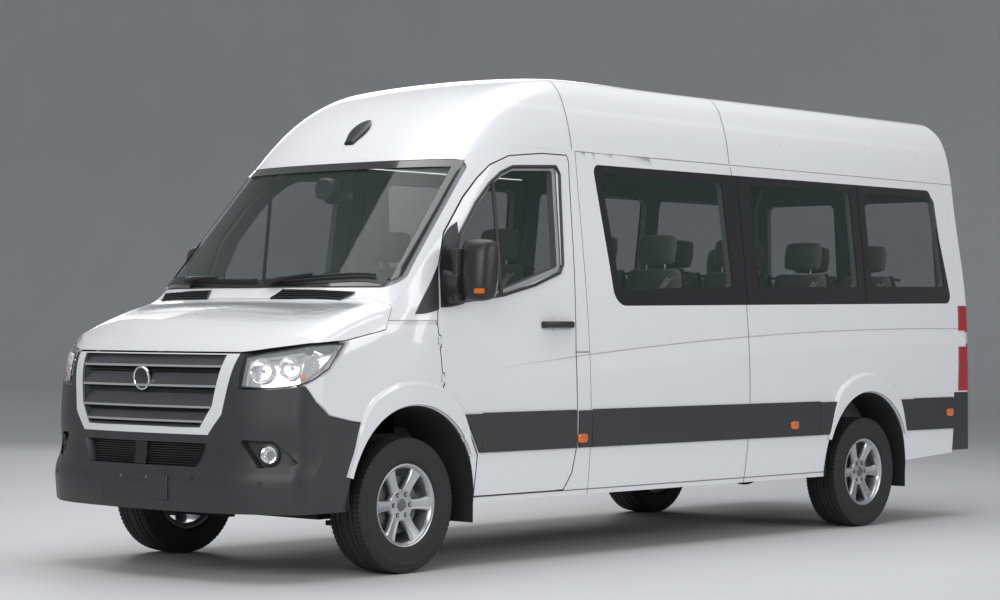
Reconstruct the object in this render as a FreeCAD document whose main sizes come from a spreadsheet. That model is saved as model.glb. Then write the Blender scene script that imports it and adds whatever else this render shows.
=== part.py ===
"""A high-roof, long-wheelbase minibus as an assembly of separate pieces, in millimetres.

X points forwards, Y to the vehicle's left and Z up. Every piece is drawn with its zero at the front axle, on the
ground, and is then placed so that the origin of the whole lies on the ground half-way along the vehicle.
"""

import FreeCAD, Part
import Sketcher
import math
import os

Vec = FreeCAD.Vector

# Driving dimensions. Names that end in _x are distances from the front axle, forwards positive.
SIZES = {
    # Overall
    "wheelbase": 4325,
    "front_overhang": 1032,
    "rear_overhang": 1443,
    "body_width": 1970,
    "roof_height": 2745,
    "sill_height": 345,
    "wall": 52,
    "wall_slack": 5.4,
    # Main section
    "belt_height": 1000,
    "gutter_height": 2292,
    "tumblehome": 128,
    "tuck_height": 640,
    "sill_tuck": 28,
    "roof_crown": 55,
    "section_centre": 700,
    # Windscreen and roof cap, on the centreline
    "screen_base_x": 262,
    "screen_base_height": 1462,
    "screen_top_x": -420,
    "screen_top_height": 2205,
    "cap_end_x": -1640,
    "screen_bow": 400,
    # Bonnet and nose, on the centreline
    "lip_x": 930,
    "bonnet_height": 1462,
    "bonnet_drop": 290,
    "bonnet_crown": 28,
    "nose_wrap": 455,
    "bumper_lip": 30,
    # Tail
    "tail_lean": 110,
    "tail_wrap": 300,
    "tail_round": 150,
    # Panel edges
    "door_front_x": -222,
    "door_rear_x": -1362,
    "b_seam_x": -1478,
    "mid_seam_x": -3000,
    "panel_gap": 5,
    "door_gap": 7,
    "door_draft": 16,
    "seat_gap": 0.3,
    "glass_thickness": 7,
    "glass_recess": 1,
    "seam_width": 4,
    "strip_thickness": 8,
    "strip_low": 612,
    "strip_high": 826,
    # Wheels
    "track": 1700,
    "tyre_radius": 356,
    "tyre_width": 235,
    "bead_radius": 203,
    "arch_radius": 475,
    "arch_height": 400,
    "arch_offset": -30,
    "spindle_radius": 27,
    "spindle_gap": 0.3,
    "kingpin_offset": 60,
    "steering_arm": 75,
    "rod_radius": 13,
    "liner_thickness": 6,
    "flap_shift": 4,
    "jack_pad_length": 80,
    "jack_pad_depth": 12,
    "well_offset": 690,
    "well_height": 300,
    # Frame and floor
    "floor_height": 620,
    "floor_thickness": 40,
    "rail_offset": 425,
    "rail_width": 60,
    "rail_depth": 120,
    "spring_width": 70,
    "tank_depth": 210,
    # Cabin
    "seat_height": 430,
    "seat_width": 440,
    "back_height": 690,
    "driver_offset": 430,
    "row_pitch": 780,
    "first_row_x": -2260,
    "wheel_ring": 195,
    "column_tilt": 32,
    # Mirrors
    "mirror_height": 338,
    "mirror_width": 190,
    "mirror_depth": 150,
    # Hinges
    "hinge_axis": 802,
    "hinge_pin": 7,
    "door_pin": 3,
    "lift_axis_x": -30,
    "lift_axis_height": 1410,
}

doc = FreeCAD.newDocument("Minibus")
sheet = doc.addObject("Spreadsheet::Sheet", "Sizes")
for row, (alias, value) in enumerate(SIZES.items(), start=1):
    sheet.set(f"A{row}", alias)
    sheet.set(f"B{row}", str(value))
    sheet.setAlias(f"B{row}", alias)
doc.recompute()


class Cells:
    """Reads the sheet's cells by their aliases."""

    def __getattr__(self, alias):
        return float(sheet.get(alias))


S = Cells()

# The front axle's place in the finished model, as a formula for placements.
AXLE = "(Sizes.rear_overhang + Sizes.wheelbase - Sizes.front_overhang) / 2"
subparts = []


def keep(thing, label):
    """Name a sub-part and place it in the frame of the whole vehicle."""
    thing.Label = label
    thing.setExpression("Placement.Base.x", AXLE)
    subparts.append(thing)
    return thing


def keep_shape(shape, label):
    """Make a sub-part of a shape that the skin's own functions gave."""
    thing = doc.addObject("Part::Feature", label)
    thing.Shape = shape
    return keep(thing, label)


# Skin: the body's outer surface, and the same surface moved inwards by any thickness


def smooth_step(value, start, end):
    """0 before start, 1 after end, and a smooth rise between them."""
    share = min(max((value - start) / (end - start), 0), 1)
    return share * share * (3 - 2 * share)


def side_half_width(height):
    """Half the body's width: upright at the belt, leaning in above it and tucked in at the sill."""
    half = S.body_width / 2
    if height < S.tuck_height:
        share = (S.tuck_height - height) / (S.tuck_height - S.sill_height)
        return half - S.sill_tuck * share * share
    if height > S.belt_height:
        share = (min(height, S.roof_height) - S.belt_height) / (S.gutter_height - S.belt_height)
        return half - S.tumblehome * share**1.2
    return half


def bow(across, depth, fullness=2.4):
    """How far a bowed panel's edge lies behind its middle, at a distance across the vehicle."""
    share = min(abs(across) / (S.body_width / 2 + 15), 0.999)
    return depth * (1 - (1 - share**fullness) ** (1 / fullness))


def screen_line(x):
    """Height of the windscreen, the cap and the roof along the centreline."""
    slope = (S.screen_top_height - S.screen_base_height) / (S.screen_base_x - S.screen_top_x)
    if x > S.screen_top_x:
        return S.screen_base_height - slope * (x - S.screen_base_x)
    if x < S.cap_end_x:
        return S.roof_height
    length = S.screen_top_x - S.cap_end_x
    share = (S.screen_top_x - x) / length
    rise = 2 * share**3 - 3 * share**2
    start = S.screen_top_height * (rise + 1) + slope * length * (share**3 - 2 * share**2 + share)
    return start - S.roof_height * rise


def bonnet_line(x):
    """Height of the bonnet along the centreline."""
    return S.bonnet_height - S.bonnet_drop * (max(x, 0) / S.lip_x) ** 1.84


def top_height(x, across):
    """Height of the skin's top, without the rounding towards the sides."""
    front = smooth_step(x, S.cap_end_x, S.screen_top_x)
    bowed = bow(across, S.screen_bow)
    share = across / (S.body_width / 2)
    roof = screen_line(x + front * bowed) - (1 - front) * S.roof_crown * share**2
    bonnet = bonnet_line(x + bowed * 0.6) - S.bonnet_crown * share**2
    crease = 30
    return (roof + bonnet + math.hypot(roof - bonnet, crease)) / 2


def inset_top(x, across, inset):
    """The top moved inwards by a distance at right angles to it."""
    step = 5
    along = (top_height(x + step, across) - top_height(x - step, across)) / (2 * step)
    sideways = (top_height(x, across + step) - top_height(x, across - step)) / (2 * step)
    return top_height(x, across) - inset * math.sqrt(1 + along**2 + sideways**2)


def reach(inside, farthest=4000, steps=20):
    """The distance at which a ray leaves a region, by halving."""
    near, far = 0, farthest
    for _ in range(steps):
        middle = (near + far) / 2
        if inside(middle):
            near = middle
        else:
            far = middle
    return near


def ray_lengths(x, angle, inset):
    """Distances from the section's centre to the side and to the top, along one ray."""
    across = math.cos(angle)
    up = math.sin(angle)
    side = reach(lambda d: d * across < side_half_width(S.section_centre + d * up) - inset)
    if angle <= 0:
        return side, math.inf
    top = reach(lambda d: S.section_centre + d * up < inset_top(x, d * across, inset))
    return side, top


def corner_angle(x, inset):
    """The ray that points at the corner between side and top."""
    def misses(angle):
        side, top = ray_lengths(x, angle, inset)
        return side < top
    return reach(misses, math.pi / 2, 11)


def section_points(x, inset, bottom):
    """One half of the section at a place along the vehicle, from the sill up to the centreline."""
    sharpness = 24 - 7 * smooth_step(-x, -S.screen_top_x, -S.cap_end_x)
    corner = corner_angle(x, inset)
    start = math.atan2(bottom - S.section_centre, side_half_width(bottom) - inset)
    end = math.pi / 2
    near = (0.97, 0.91, 0.8, 0.6, 0.32, 0)
    angles = [start + (corner - start) * share for share in reversed(near)]
    angles += [corner]
    angles += [end + (corner - end) * share for share in near]
    points = []
    for angle in angles:
        side, top = ray_lengths(x, angle, inset)
        length = (side**-sharpness + (0 if top == math.inf else top**-sharpness)) ** (-1 / sharpness)
        points.append(Vec(x, length * math.cos(angle), S.section_centre + length * math.sin(angle)))
    points[0].z = bottom
    points[-1].y = 0
    return points


def smooth(points, places):
    """A cubic spline through points at given parameters, so that like curves have like poles."""
    spline = Part.BSplineCurve()
    spline.interpolate(Points=points, Parameters=places)
    return spline


def shared_parameters(rows):
    """One set of parameters for like curves, from the mean distance between their points."""
    places = [0]
    for index in range(1, len(rows[0])):
        steps = [(row[index] - row[index - 1]).Length for row in rows]
        places.append(places[-1] + sum(steps) / len(steps))
    return places


def surface(rows, row_places):
    """A smooth face through rows of points, each row a curve and the rows placed along the other way."""
    curves = [smooth(row, shared_parameters(rows)) for row in rows]
    columns = [smooth([c.getPole(i + 1) for c in curves], row_places) for i in range(curves[0].NbPoles)]
    poles = [column.getPoles() for column in columns]
    first, second = curves[0], columns[0]
    skin = Part.BSplineSurface()
    skin.buildFromPolesMultsKnots(
        poles, first.getMultiplicities(), second.getMultiplicities(), first.getKnots(), second.getKnots(),
        False, False, first.Degree, second.Degree,
    )
    return skin.toShape()


def closed(face, lids):
    """A solid from a face and the wires that close its open ends."""
    shell = Part.makeShell([face] + [Part.Face(lid) for lid in lids])
    shell.sewShape()
    solid = Part.Solid(Part.Shell(shell.Faces))
    if solid.Volume < 0:
        solid.reverse()
    return solid


def main_volume(inset):
    """The body's long volume, open-ended beyond nose and tail."""
    bottom = S.sill_height if inset == 0 else S.sill_height - 60
    front = [1120, 900, 700, 530, 400, 300, 210, 120, 20, -100, -240, -390, -560]
    back = [-760, -1010, -1300, -1600, -2000, -4000, -S.wheelbase - S.rear_overhang - 80]
    rows = []
    for x in front + back:
        left = section_points(x, inset, bottom)
        rows.append(left + [Vec(p.x, -p.y, p.z) for p in reversed(left[:-1])])
    face = surface(rows, [rows[0][0].x - row[0].x for row in rows])
    places = shared_parameters(rows)
    lids = [Part.Wire([smooth(row, places).toShape(), Part.makeLine(row[-1], row[0])]) for row in (rows[0], rows[-1])]
    lids.append(Part.makePolygon([rows[0][0], rows[-1][0], rows[-1][-1], rows[0][-1], rows[0][0]]))
    return closed(face, lids)


def nose_profile(inset):
    """The front face from below the bumper up over the bonnet's lip."""
    low = S.front_overhang - inset
    face = S.front_overhang - S.bumper_lip - inset
    return [
        (low - 12, S.sill_height - 150), (low - 8, S.sill_height + 20), (low, 440), (low - 4, 530),
        (face - 4, 600), (face - 6, 760), (face - 12, 900), (face - 26, 1040),
        (face - 55, 1125), (face - 115, 1205), (face - 230, 1320), (face - 430, 1500),
    ]


def tail_profile(inset):
    """The rear face, leaning forwards towards a rounded upper edge."""
    rear = -S.wheelbase - S.rear_overhang + 60 + inset
    top = S.roof_height
    lean = S.tail_lean
    radius = S.tail_round
    return [
        (rear + lean + radius * 1.9, top + 60), (rear + lean + radius * 0.85, top - radius * 0.30),
        (rear + lean + radius * 0.22, top - radius * 0.95), (rear + lean, top - radius * 1.9),
        (rear + lean * 0.62, 1900), (rear + lean * 0.15, 1300), (rear, 900), (rear, S.sill_height - 150),
    ]


def end_tool(profile, depth, fullness, length):
    """What lies beyond a bowed end face, to be cut away."""
    half = S.body_width / 2 + 14.5
    places = [share * half for share in (-1, -0.97, -0.9, -0.76, -0.5, 0, 0.5, 0.76, 0.9, 0.97, 1)]
    rows = [[Vec(x - bow(across, depth, fullness), across, z) for x, z in profile] for across in places]
    return surface(rows, [across + half for across in places]).extrude(Vec(length, 0, 0))


volumes = {}


def volume(inset):
    """The body's volume inside its outer surface moved inwards by a distance, made once for each."""
    if inset not in volumes:
        nose = end_tool(nose_profile(inset), S.nose_wrap, 2.4, 1500)
        tail = end_tool(tail_profile(inset), -S.tail_wrap, 5, -1500)
        volumes[inset] = main_volume(inset).cut(nose).cut(tail)
    return volumes[inset]


# Outlines: prisms with rounded corners that cut the panels out of the skin


def corner_points(before, corner, after, radius):
    """Where a rounded corner starts, its middle and where it ends."""
    first = (before - corner).normalize()
    second = (after - corner).normalize()
    half = first.getAngle(second) / 2
    run = radius / math.tan(half)
    middle = (first + second).normalize()
    away = radius / math.sin(half) - radius
    return corner + first * run, corner + middle * away, corner + second * run


def outline(points, radii=0):
    """A closed wire through points, each corner rounded by its radius."""
    count = len(points)
    if isinstance(radii, (int, float)):
        radii = [radii] * count
    edges = []
    ends = []
    for index, corner in enumerate(points):
        radius = radii[index]
        if radius:
            start, middle, end = corner_points(points[index - 1], corner, points[(index + 1) % count], radius)
            edges.append(Part.Arc(start, middle, end).toShape())
            ends.append((start, end))
        else:
            ends.append((corner, corner))
    for index in range(count):
        start, end = ends[index][1], ends[(index + 1) % count][0]
        if (start - end).Length > 0.01:
            edges.append(Part.makeLine(start, end))
    return Part.Wire(Part.__sortEdges__(edges))


def side_prism(points, radii=0, near=0, far=1300):
    """A prism across the vehicle over an outline seen from the side."""
    wire = outline([Vec(x, near, z) for x, z in points], radii)
    return Part.Face(wire).extrude(Vec(0, far - near, 0))


def front_prism(points, radii=0, near=-700, far=1300):
    """A prism along the vehicle over an outline seen from the front, given as across and up."""
    wire = outline([Vec(near, y, z) for y, z in points], radii)
    return Part.Face(wire).extrude(Vec(far - near, 0, 0))


def mirrored(shape):
    """The same shape on the vehicle's other side."""
    return shape.mirror(Vec(0, 0, 0), Vec(0, 1, 0))


def both(shape):
    """A shape and its mirror image."""
    return shape.fuse(mirrored(shape))


def block(x0, x1, y0, y1, z0, z1):
    """A plain box between two corners."""
    return Part.makeBox(x1 - x0, y1 - y0, z1 - z0, Vec(x0, y0, z0))


def moved(points, inside):
    """An outline's points moved inwards by a distance, or outwards by a negative one."""
    count = len(points)
    area = sum(points[i - 1][0] * points[i][1] - points[i][0] * points[i - 1][1] for i in range(count))
    turn = 1 if area > 0 else -1
    result = []
    for index in range(count):
        (ax, ay), (bx, by), (cx, cy) = points[index - 1], points[index], points[(index + 1) % count]
        first = Vec(bx - ax, by - ay, 0).normalize()
        second = Vec(cx - bx, cy - by, 0).normalize()
        normal = Vec(-first.y - second.y, first.x + second.x, 0) * turn
        length = normal.Length
        scale = inside * 2 / length / length
        result.append((bx + normal.x * scale, by + normal.y * scale))
    return result


def divided(points, longest=260):
    """An outline whose long edges are divided, so that a plug drawn over it follows the curved wall."""
    result = []
    for index, (bx, by) in enumerate(points):
        ax, ay = points[index - 1]
        pieces = max(1, math.ceil(math.hypot(bx - ax, by - ay) / longest))
        for piece in range(1, pieces + 1):
            share = piece / pieces
            result.append((ax + (bx - ax) * share, ay + (by - ay) * share))
    return result


def drafted_prism(points, gap, draft):
    """A plug across the left side's wall whose edges draw in towards the inside of the vehicle."""
    outer = moved(divided(points), gap)
    inner = moved(divided(points), gap + draft)
    wires = []
    for plane in (1200, 600):
        ring = []
        for (ox, oz), (ix, iz) in zip(outer, inner):
            skin = side_half_width(oz)
            share = (skin - plane) / S.wall
            ring.append(Vec(ox + (ix - ox) * share, plane, oz + (iz - oz) * share))
        wires.append(outline(ring))
    return Part.makeLoft(wires, True, True)


def tail_line(height):
    """Where the tail's middle lies at a height, along straight lines through its profile."""
    profile = tail_profile(0)
    for (upper_x, upper_z), (lower_x, lower_z) in zip(profile, profile[1:]):
        if lower_z <= height <= upper_z:
            return lower_x + (upper_x - lower_x) * (height - lower_z) / (upper_z - lower_z)
    return profile[-1][0]


def drafted_rear_prism(points, gap, draft):
    """A plug along the rear wall, with its outline seen from behind, that draws in towards the inside."""
    wires = []
    outer = moved(divided(points), gap)
    inner = moved(divided(points), gap + draft)
    for offset in (-300, 300):
        ring = []
        plane = -S.wheelbase - S.rear_overhang + 60 + offset
        for (oy, oz), (iy, iz) in zip(outer, inner):
            share = (plane - tail_line(oz)) / S.wall
            ring.append(Vec(plane, oy + (iy - oy) * share, oz + (iz - oz) * share))
        wires.append(outline(ring))
    return Part.makeLoft(wires, True, True)


# Outlines seen from the side, as distance from the front axle and height


def front_door_outline():
    """The front door, from its lower front corner upwards and back."""
    front = S.door_front_x
    rear = S.door_rear_x
    sill = S.sill_height + 30
    return [
        (front - 288, sill), (front - 300, 600), (front - 180, 817), (front - 28, 952), (front, 1300),
        (front - 40, 1600), (front - 108, 1790), (front - 285, 1993), (front - 409, 2102), (front - 518, 2178),
        (front - 680, 2236), (front - 960, 2264), (rear - 40, 2266), (rear - 56, 2225), (rear - 28, 1600),
        (rear, 1144), (rear, 620), (rear + 30, 470), (rear + 95, sill),
    ]


def bonnet_seam():
    """The bonnet's lower edge on the left, from the screen's corner forwards."""
    return [(50, 1478), (74, 1414), (165, 1268), (455, 1212), (666, 1196), (791, 1170), (863, 1150), (1250, 1150)]


def lamp_outline():
    """The headlamp, from its rear tip round below."""
    return [(442, 1198), (586, 1066), (724, 990), (841, 972), (1250, 972), (1250, 1132), (863, 1132), (791, 1160),
            (666, 1187)]


def bumper_outline():
    """The front bumper and its upper edge, which rises from the wheel arch to the lamp."""
    return [(1250, 200), (150, 200), (150, 765), (290, 780), (446, 802), (588, 831), (670, 902), (724, 983),
            (841, 966), (1250, 966)]


def fender_outline():
    """The front wing, between bumper, lamp, bonnet, screen and door."""
    seam = bonnet_seam()[:4]
    door = front_door_outline()[1:5]
    top = [(20, 1440), (-60, 1372), (S.door_front_x, 1358)]
    front = [(150, 770), (290, 785), (446, 807), (588, 836), (670, 907), (724, 990), (586, 1066), (442, 1198)]
    return front + list(reversed(seam[1:])) + top + list(reversed(door)) + [(-30, 560)]


def window_band():
    """The dark glass band along the side."""
    tail = -S.wheelbase
    return [(S.b_seam_x - 151, 2222), (S.b_seam_x - 262, 1412), (tail - 1105, 1466), (tail - 950, 2238)]


BAND_RADII = (45, 110, 60, 60)


def window_openings():
    """The clear openings behind the band, front to rear."""
    first = [(S.b_seam_x - 212, 2180), (S.b_seam_x - 302, 1500), (S.mid_seam_x + 95, 1528), (S.mid_seam_x + 120, 2185)]
    second = [(-3142, 2188), (-3142, 1535), (-4292, 1552), (-4292, 2192)]
    third = [(-4440, 2194), (-4440, 1556), (-5372, 1570), (-5318, 2196)]
    return [first, second, third]


def door_glass_outline():
    """The front door's window with the small light in front of its divider."""
    front = S.door_front_x
    rear = S.door_rear_x
    return [(rear + 66, 2196), (rear + 92, 1604), (front - 545, 1462), (front - 118, 1416), (front - 126, 1560),
            (front - 232, 1790), (front - 380, 1966), (front - 500, 2075), (front - 600, 2140), (front - 700, 2176)]


# Skin panels, each cut from the shell between outer and inner surface


def arch(x, radius, near=0, far=1300):
    """The round of a wheel arch on the left."""
    return Part.makeCylinder(radius, far - near, Vec(x, near, S.arch_height), Vec(0, 1, 0))


layers = {}


def layer(outer, inner):
    """What lies between the skin at two depths, made once for each pair."""
    if (outer, inner) not in layers:
        layers[outer, inner] = volume(outer).cut(volume(inner))
    return layers[outer, inner]


def shell():
    """The whole wall."""
    return layer(0, S.wall)


def pane():
    """The layer that glass fills."""
    return layer(S.glass_recess, S.glass_recess + S.glass_thickness)


def bed():
    """The volume within the seat of glass and the foot of the grooves between fixed panels."""
    return volume(S.glass_recess + S.glass_thickness + S.seat_gap)


def grooved(panel, points, prism, *limits):
    """Cut the shallow groove that shows round a fixed panel into the panel's edge."""
    rim = prism(moved(points, -20), 0, *limits).cut(prism(moved(points, S.seam_width), 0, *limits))
    return panel.cut(rim.cut(bed()))


def rear_end():
    """The rearmost face, of the step."""
    return -S.wheelbase - S.rear_overhang


def sides():
    """Side walls with their glass, the sliding door and the tail lamps."""
    seat = S.seat_gap / 2
    sill = S.sill_height - 5
    rear = rear_end()
    far = rear - 100
    corner = -S.wheelbase - 1078
    floor_line = [(S.b_seam_x - seat, sill), (-S.wheelbase, sill), (-S.wheelbase - 400, 410), (far, 470)]
    top = S.gutter_height - seat
    side = shell().common(side_prism(floor_line + [(far, top), (S.b_seam_x - seat, top)]))
    side = side.cut(arch(-S.wheelbase - 5, S.arch_radius))
    side = grooved(side, [(S.b_seam_x, 0), (S.b_seam_x, S.gutter_height), (far - 300, S.gutter_height), (far - 300, 0)],
                   side_prism)
    band = side_prism(window_band(), BAND_RADII)
    side = side.cut(band.cut(bed()))
    for opening in window_openings():
        side = side.cut(side_prism(opening, 60))
    side = side.cut(side_prism([(corner, 0), (corner, 858), (far, 858), (far, 0)]))
    lamp = [(845, 866), (1300, 866), (1300, 1452), (845, 1452)]
    side = side.cut(front_prism(lamp, 0, far, rear + 190))
    tail_lamp = shell().common(front_prism(moved(lamp, S.seat_gap), 0, far, rear + 190 - S.seat_gap))
    tail_lamp = grooved(tail_lamp, lamp, front_prism, far, rear + 190)
    side = side.cut(front_prism(rear_door_outline(), 0, rear - 200, rear + 300))
    hinged = side.fuse(rear_hinge_forks())
    keep_shape(hinged, "side_left")

    slide = [(S.b_seam_x, S.sill_height + 30), (S.mid_seam_x, S.sill_height + 30),
             (S.mid_seam_x, S.gutter_height - 22), (S.b_seam_x, S.gutter_height - 22)]
    keep_shape(mirrored(hinged.cut(side_prism(slide))), "side_right")
    door_part = shell().common(drafted_prism(slide, S.panel_gap, S.door_draft))
    door_part = door_part.cut(band.cut(bed())).cut(side_prism(window_openings()[0], 60))
    keep_shape(mirrored(door_part), "sliding_door")

    glass = pane().common(side_prism(moved(window_band(), S.seat_gap), BAND_RADII))
    for seam in (S.mid_seam_x - 35, -4372):
        glass = glass.cut(block(seam - 3, seam + 3, 0, 1300, 1000, 2400))
    keep_shape(glass, "side_glass_left")
    ahead = block(S.mid_seam_x, 0, 0, 1300, 1000, 2400)
    keep_shape(mirrored(glass.cut(ahead)), "side_glass_right")
    keep_shape(mirrored(glass.common(block(S.mid_seam_x + 12, 0, 0, 1300, 1000, 2400))), "sliding_door_glass")
    keep_shape(both(tail_lamp), "tail_lamps")


SCREEN = [(-912, 1490), (912, 1490), (842, 2198), (-842, 2198)]


def roof_and_cab():
    """The roof with its cap, the cab's pillars, cowl and sills, and the windscreen."""
    seat = S.seat_gap / 2
    sill = S.sill_height - 5
    rear = rear_end()
    split = 2214
    edge = [(900, split), (-590, split), (-800, S.gutter_height), (rear - 100, S.gutter_height),
            (rear - 100, 3200), (900, 3200)]
    hole = both(front_prism(rear_door_outline(), 0, rear - 200, rear + 300))
    keep_shape(shell().common(side_prism(moved(edge, seat), 0, -1300, 1300)).cut(hole), "roof")

    cab_edge = [(900, split - seat), (-590, split - seat), (-800, S.gutter_height - seat),
                (S.b_seam_x + seat, S.gutter_height - seat), (S.b_seam_x + seat, sill), (-470, sill), (-470, 700),
                (-100, 1300), (900, 1300)]
    cab = shell().common(side_prism(cab_edge)).cut(front_prism(moved(SCREEN, 24), 50, -780, 700))
    cab = cab.cut(front_prism(SCREEN, 60, -780, 700).cut(bed())).cut(side_prism(front_door_outline()))
    cab = cab.cut(side_prism(moved(fender_outline(), -S.seat_gap))).cut(arch(S.arch_offset, S.arch_radius))
    keep_shape(both(cab.cut(bonnet_zone(0))), "cab_frame")
    keep_shape(pane().common(front_prism(moved(SCREEN, S.seat_gap), 60, -780, 700)), "windscreen")


MOUTH = [(-556, 1140), (-508, 880), (-436, 771), (436, 771), (508, 880), (556, 1140)]
LOW_MOUTH = [(-470, 692), (-418, 572), (418, 572), (470, 692)]
SURROUND = [(-630, 1146), (-570, 838), (-486, 735), (486, 735), (570, 838), (630, 1146)]


def nose():
    """Front wings, bonnet, bumper, grille with its surround, and headlamps."""
    seat = S.seat_gap
    fender = shell().common(side_prism(fender_outline())).cut(arch(S.arch_offset, S.arch_radius))
    fender = grooved(fender, fender_outline()[:8] + [(442, 1300), (-400, 1300), (-400, 500)], side_prism)
    pins, knuckles, notch, pocket = front_hinges()
    fender = fender.cut(pocket).fuse(pins)
    keep_shape(fender, "fender_left")
    keep_shape(mirrored(fender), "fender_right")

    striker = block(846, 858, -20, 20, 1046, 1185)
    keep_shape(shell().common(bonnet_zone(S.panel_gap)).fuse(striker), "bonnet")

    middle = front_prism([(-660, 900), (660, 900), (660, 1146), (-660, 1146)], 0, 300)
    bumper = shell().common(side_prism(moved(bumper_outline(), seat), 0, -1300, 1300).fuse(middle))
    bumper = bumper.cut(arch(S.arch_offset, S.arch_radius, -1300, 1300))
    bumper = bumper.cut(front_prism(SURROUND, 0, 300)).cut(front_prism(LOW_MOUTH, 12, 300))
    fog = [(664, 716), (828, 710), (952, 592), (772, 574)]
    keep_shape(bumper.cut(both(front_prism(fog, 15, 300))), "front_bumper")
    ring = shell().common(front_prism(moved(SURROUND, seat), 0, 300))
    ring = ring.cut(front_prism(MOUTH, 0, 300))
    ring = ring.cut(side_prism([(300, 1146), (1300, 1146), (1300, 1400), (300, 1400)], 0, -1300))
    keep_shape(ring, "grille_surround")
    keep_shape(grille(), "grille")

    inboard = front_prism([(0, 700), (660 + seat, 700), (660 + seat, 1300), (0, 1300)], 0, 300)
    lamp = shell().common(side_prism(lamp_outline())).cut(inboard)
    lamp = grooved(lamp, lamp_outline(), side_prism)
    keep_shape(lamp, "headlamp_left")
    keep_shape(mirrored(lamp), "headlamp_right")


def front_axis(height):
    """Where the left front door's hinge axis lies at a height, in the middle of its front gap."""
    rise = height - 1010
    return Vec(-249 + rise * 0.0805, 981 - rise * 0.0524, height)


def front_hinges():
    """Two flush barrel hinges of the left front door: pins with lugs, knuckles, and the room for both."""
    pins = []
    knuckles = []
    notches = []
    pockets = []
    along = front_axis(1110) - front_axis(1010)
    for height in (1010, 1210):
        place = front_axis(height)
        ax, ay = place.x, place.y
        pins.append(Part.makeCylinder(S.door_pin, 58, front_axis(height - 29), along))
        for low in (height - 29, height + 17):
            pins.append(block(ax - 7, ax + 14, ay - 7, ay + 4, low, low + 12))
        barrel = Part.makeCylinder(7, 32, front_axis(height - 16), along)
        barrel = barrel.fuse(block(ax - 22, ax, ay - 6, ay + 3, height - 15.5, height + 15.5))
        knuckles.append(barrel.cut(Part.makeCylinder(S.door_pin + S.seat_gap, 90, front_axis(height - 45), along)))
        notches.append(block(ax - 15, ax + 8, ay - 15, ay + 30, height - 35, height + 35))
        pockets.append(block(ax - 8, ax + 12, ay - 12, ay + 30, height - 16.9, height + 16.9))
    return [pieces[0].multiFuse(pieces[1:]) for pieces in (pins, knuckles, notches, pockets)]


def front_doors():
    """The cab's doors with their glass."""
    pins, knuckles, notch, pocket = front_hinges()
    panel = shell().common(drafted_prism(front_door_outline(), S.door_gap, S.door_draft))
    glass_edge = door_glass_outline()
    panel = panel.cut(side_prism(glass_edge, 25).cut(bed())).cut(side_prism(moved(glass_edge, 26), 20))
    panel = panel.cut(notch).fuse(knuckles)
    keep_shape(panel, "door_left")
    keep_shape(mirrored(panel), "door_right")
    glass = pane().common(side_prism(moved(glass_edge, S.seat_gap), 25))
    keep_shape(glass, "door_glass_left")
    keep_shape(mirrored(glass), "door_glass_right")


def rear_axis(height):
    """Where the left rear door's hinge axis lies at a height, just behind the leaning tail."""
    return Vec(rear_end() + 60 - 33 + (height - 700) * 0.0616, S.hinge_axis, height)


REAR_HINGES = (1000, 1880)


def rear_hinge_forks():
    """The fixed half of the left rear door's hinges: forks with their pins."""
    along = rear_axis(1700) - rear_axis(700)
    pieces = []
    for height in REAR_HINGES:
        place = rear_axis(height)
        pieces.append(Part.makeCylinder(S.hinge_pin, 88, rear_axis(height - 44), along))
        for low in (height - 46, height + 20.6):
            pieces.append(block(place.x - 11, place.x + 11, place.y - 11, 842, low, low + 25.4))
            pieces.append(block(place.x - 11, place.x + 74, 812, 842, low, low + 25.4))
    return pieces[0].multiFuse(pieces[1:])


def rear_hinge_straps():
    """The moving half of the left rear door's hinges: knuckles with their straps."""
    along = rear_axis(1700) - rear_axis(700)
    pieces = []
    for height in REAR_HINGES:
        place = rear_axis(height)
        barrel = Part.makeCylinder(13, 38, rear_axis(height - 19), along)
        strap = block(place.x - 9, place.x + 9, 746, place.y, height - 18, height + 18)
        root = block(place.x - 9, place.x + 68, 746, 782, height - 18, height + 18)
        bore = Part.makeCylinder(S.hinge_pin + S.seat_gap, 120, rear_axis(height - 60), along)
        pieces.append(barrel.fuse([strap, root]).cut(bore))
    return pieces[0].fuse(pieces[1:])


def rear_door_outline():
    """The left rear door's opening as seen from behind, as across and up."""
    return [(0, 628), (800, 628), (800, 2160), (720, 2400), (0, 2400)]


def rear_doors():
    """The twin rear doors with their glass."""
    rear = rear_end()
    leaf = [(-3, 628)] + rear_door_outline()[1:4] + [(-3, 2400)]
    panel = shell().common(drafted_rear_prism(leaf, S.door_gap, S.door_draft))
    window = [(86, 1474), (738, 1474), (716, 2206), (86, 2206)]
    panel = panel.cut(front_prism(window, 60, rear - 200, rear + 300).cut(bed()))
    panel = panel.cut(front_prism(moved(window, 26), 50, rear - 200, rear + 300))
    panel = panel.fuse(rear_hinge_straps())
    keep_shape(panel, "rear_door_left")
    keep_shape(mirrored(panel), "rear_door_right")
    glass = pane().common(front_prism(moved(window, S.seat_gap), 60, rear - 200, rear + 300))
    keep_shape(glass, "rear_glass_left")
    keep_shape(mirrored(glass), "rear_glass_right")


def rear_bumper():
    """The rear bumper's corners, joined by the step."""
    rear = rear_end()
    corner_x = -S.wheelbase - 1078 - S.seat_gap
    top = 858 - S.seat_gap
    corner = shell().common(side_prism([(corner_x, 462), (corner_x, top), (rear - 100, top), (rear - 100, 462)]))
    corner = corner.cut(front_prism([(0, 300), (802, 300), (802, 1000), (0, 1000)], 0, rear - 200, rear + 300))
    step = block(rear, rear + 190, -850, 850, 470, 612)
    keep_shape(both(corner).fuse(step), "rear_bumper")


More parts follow.
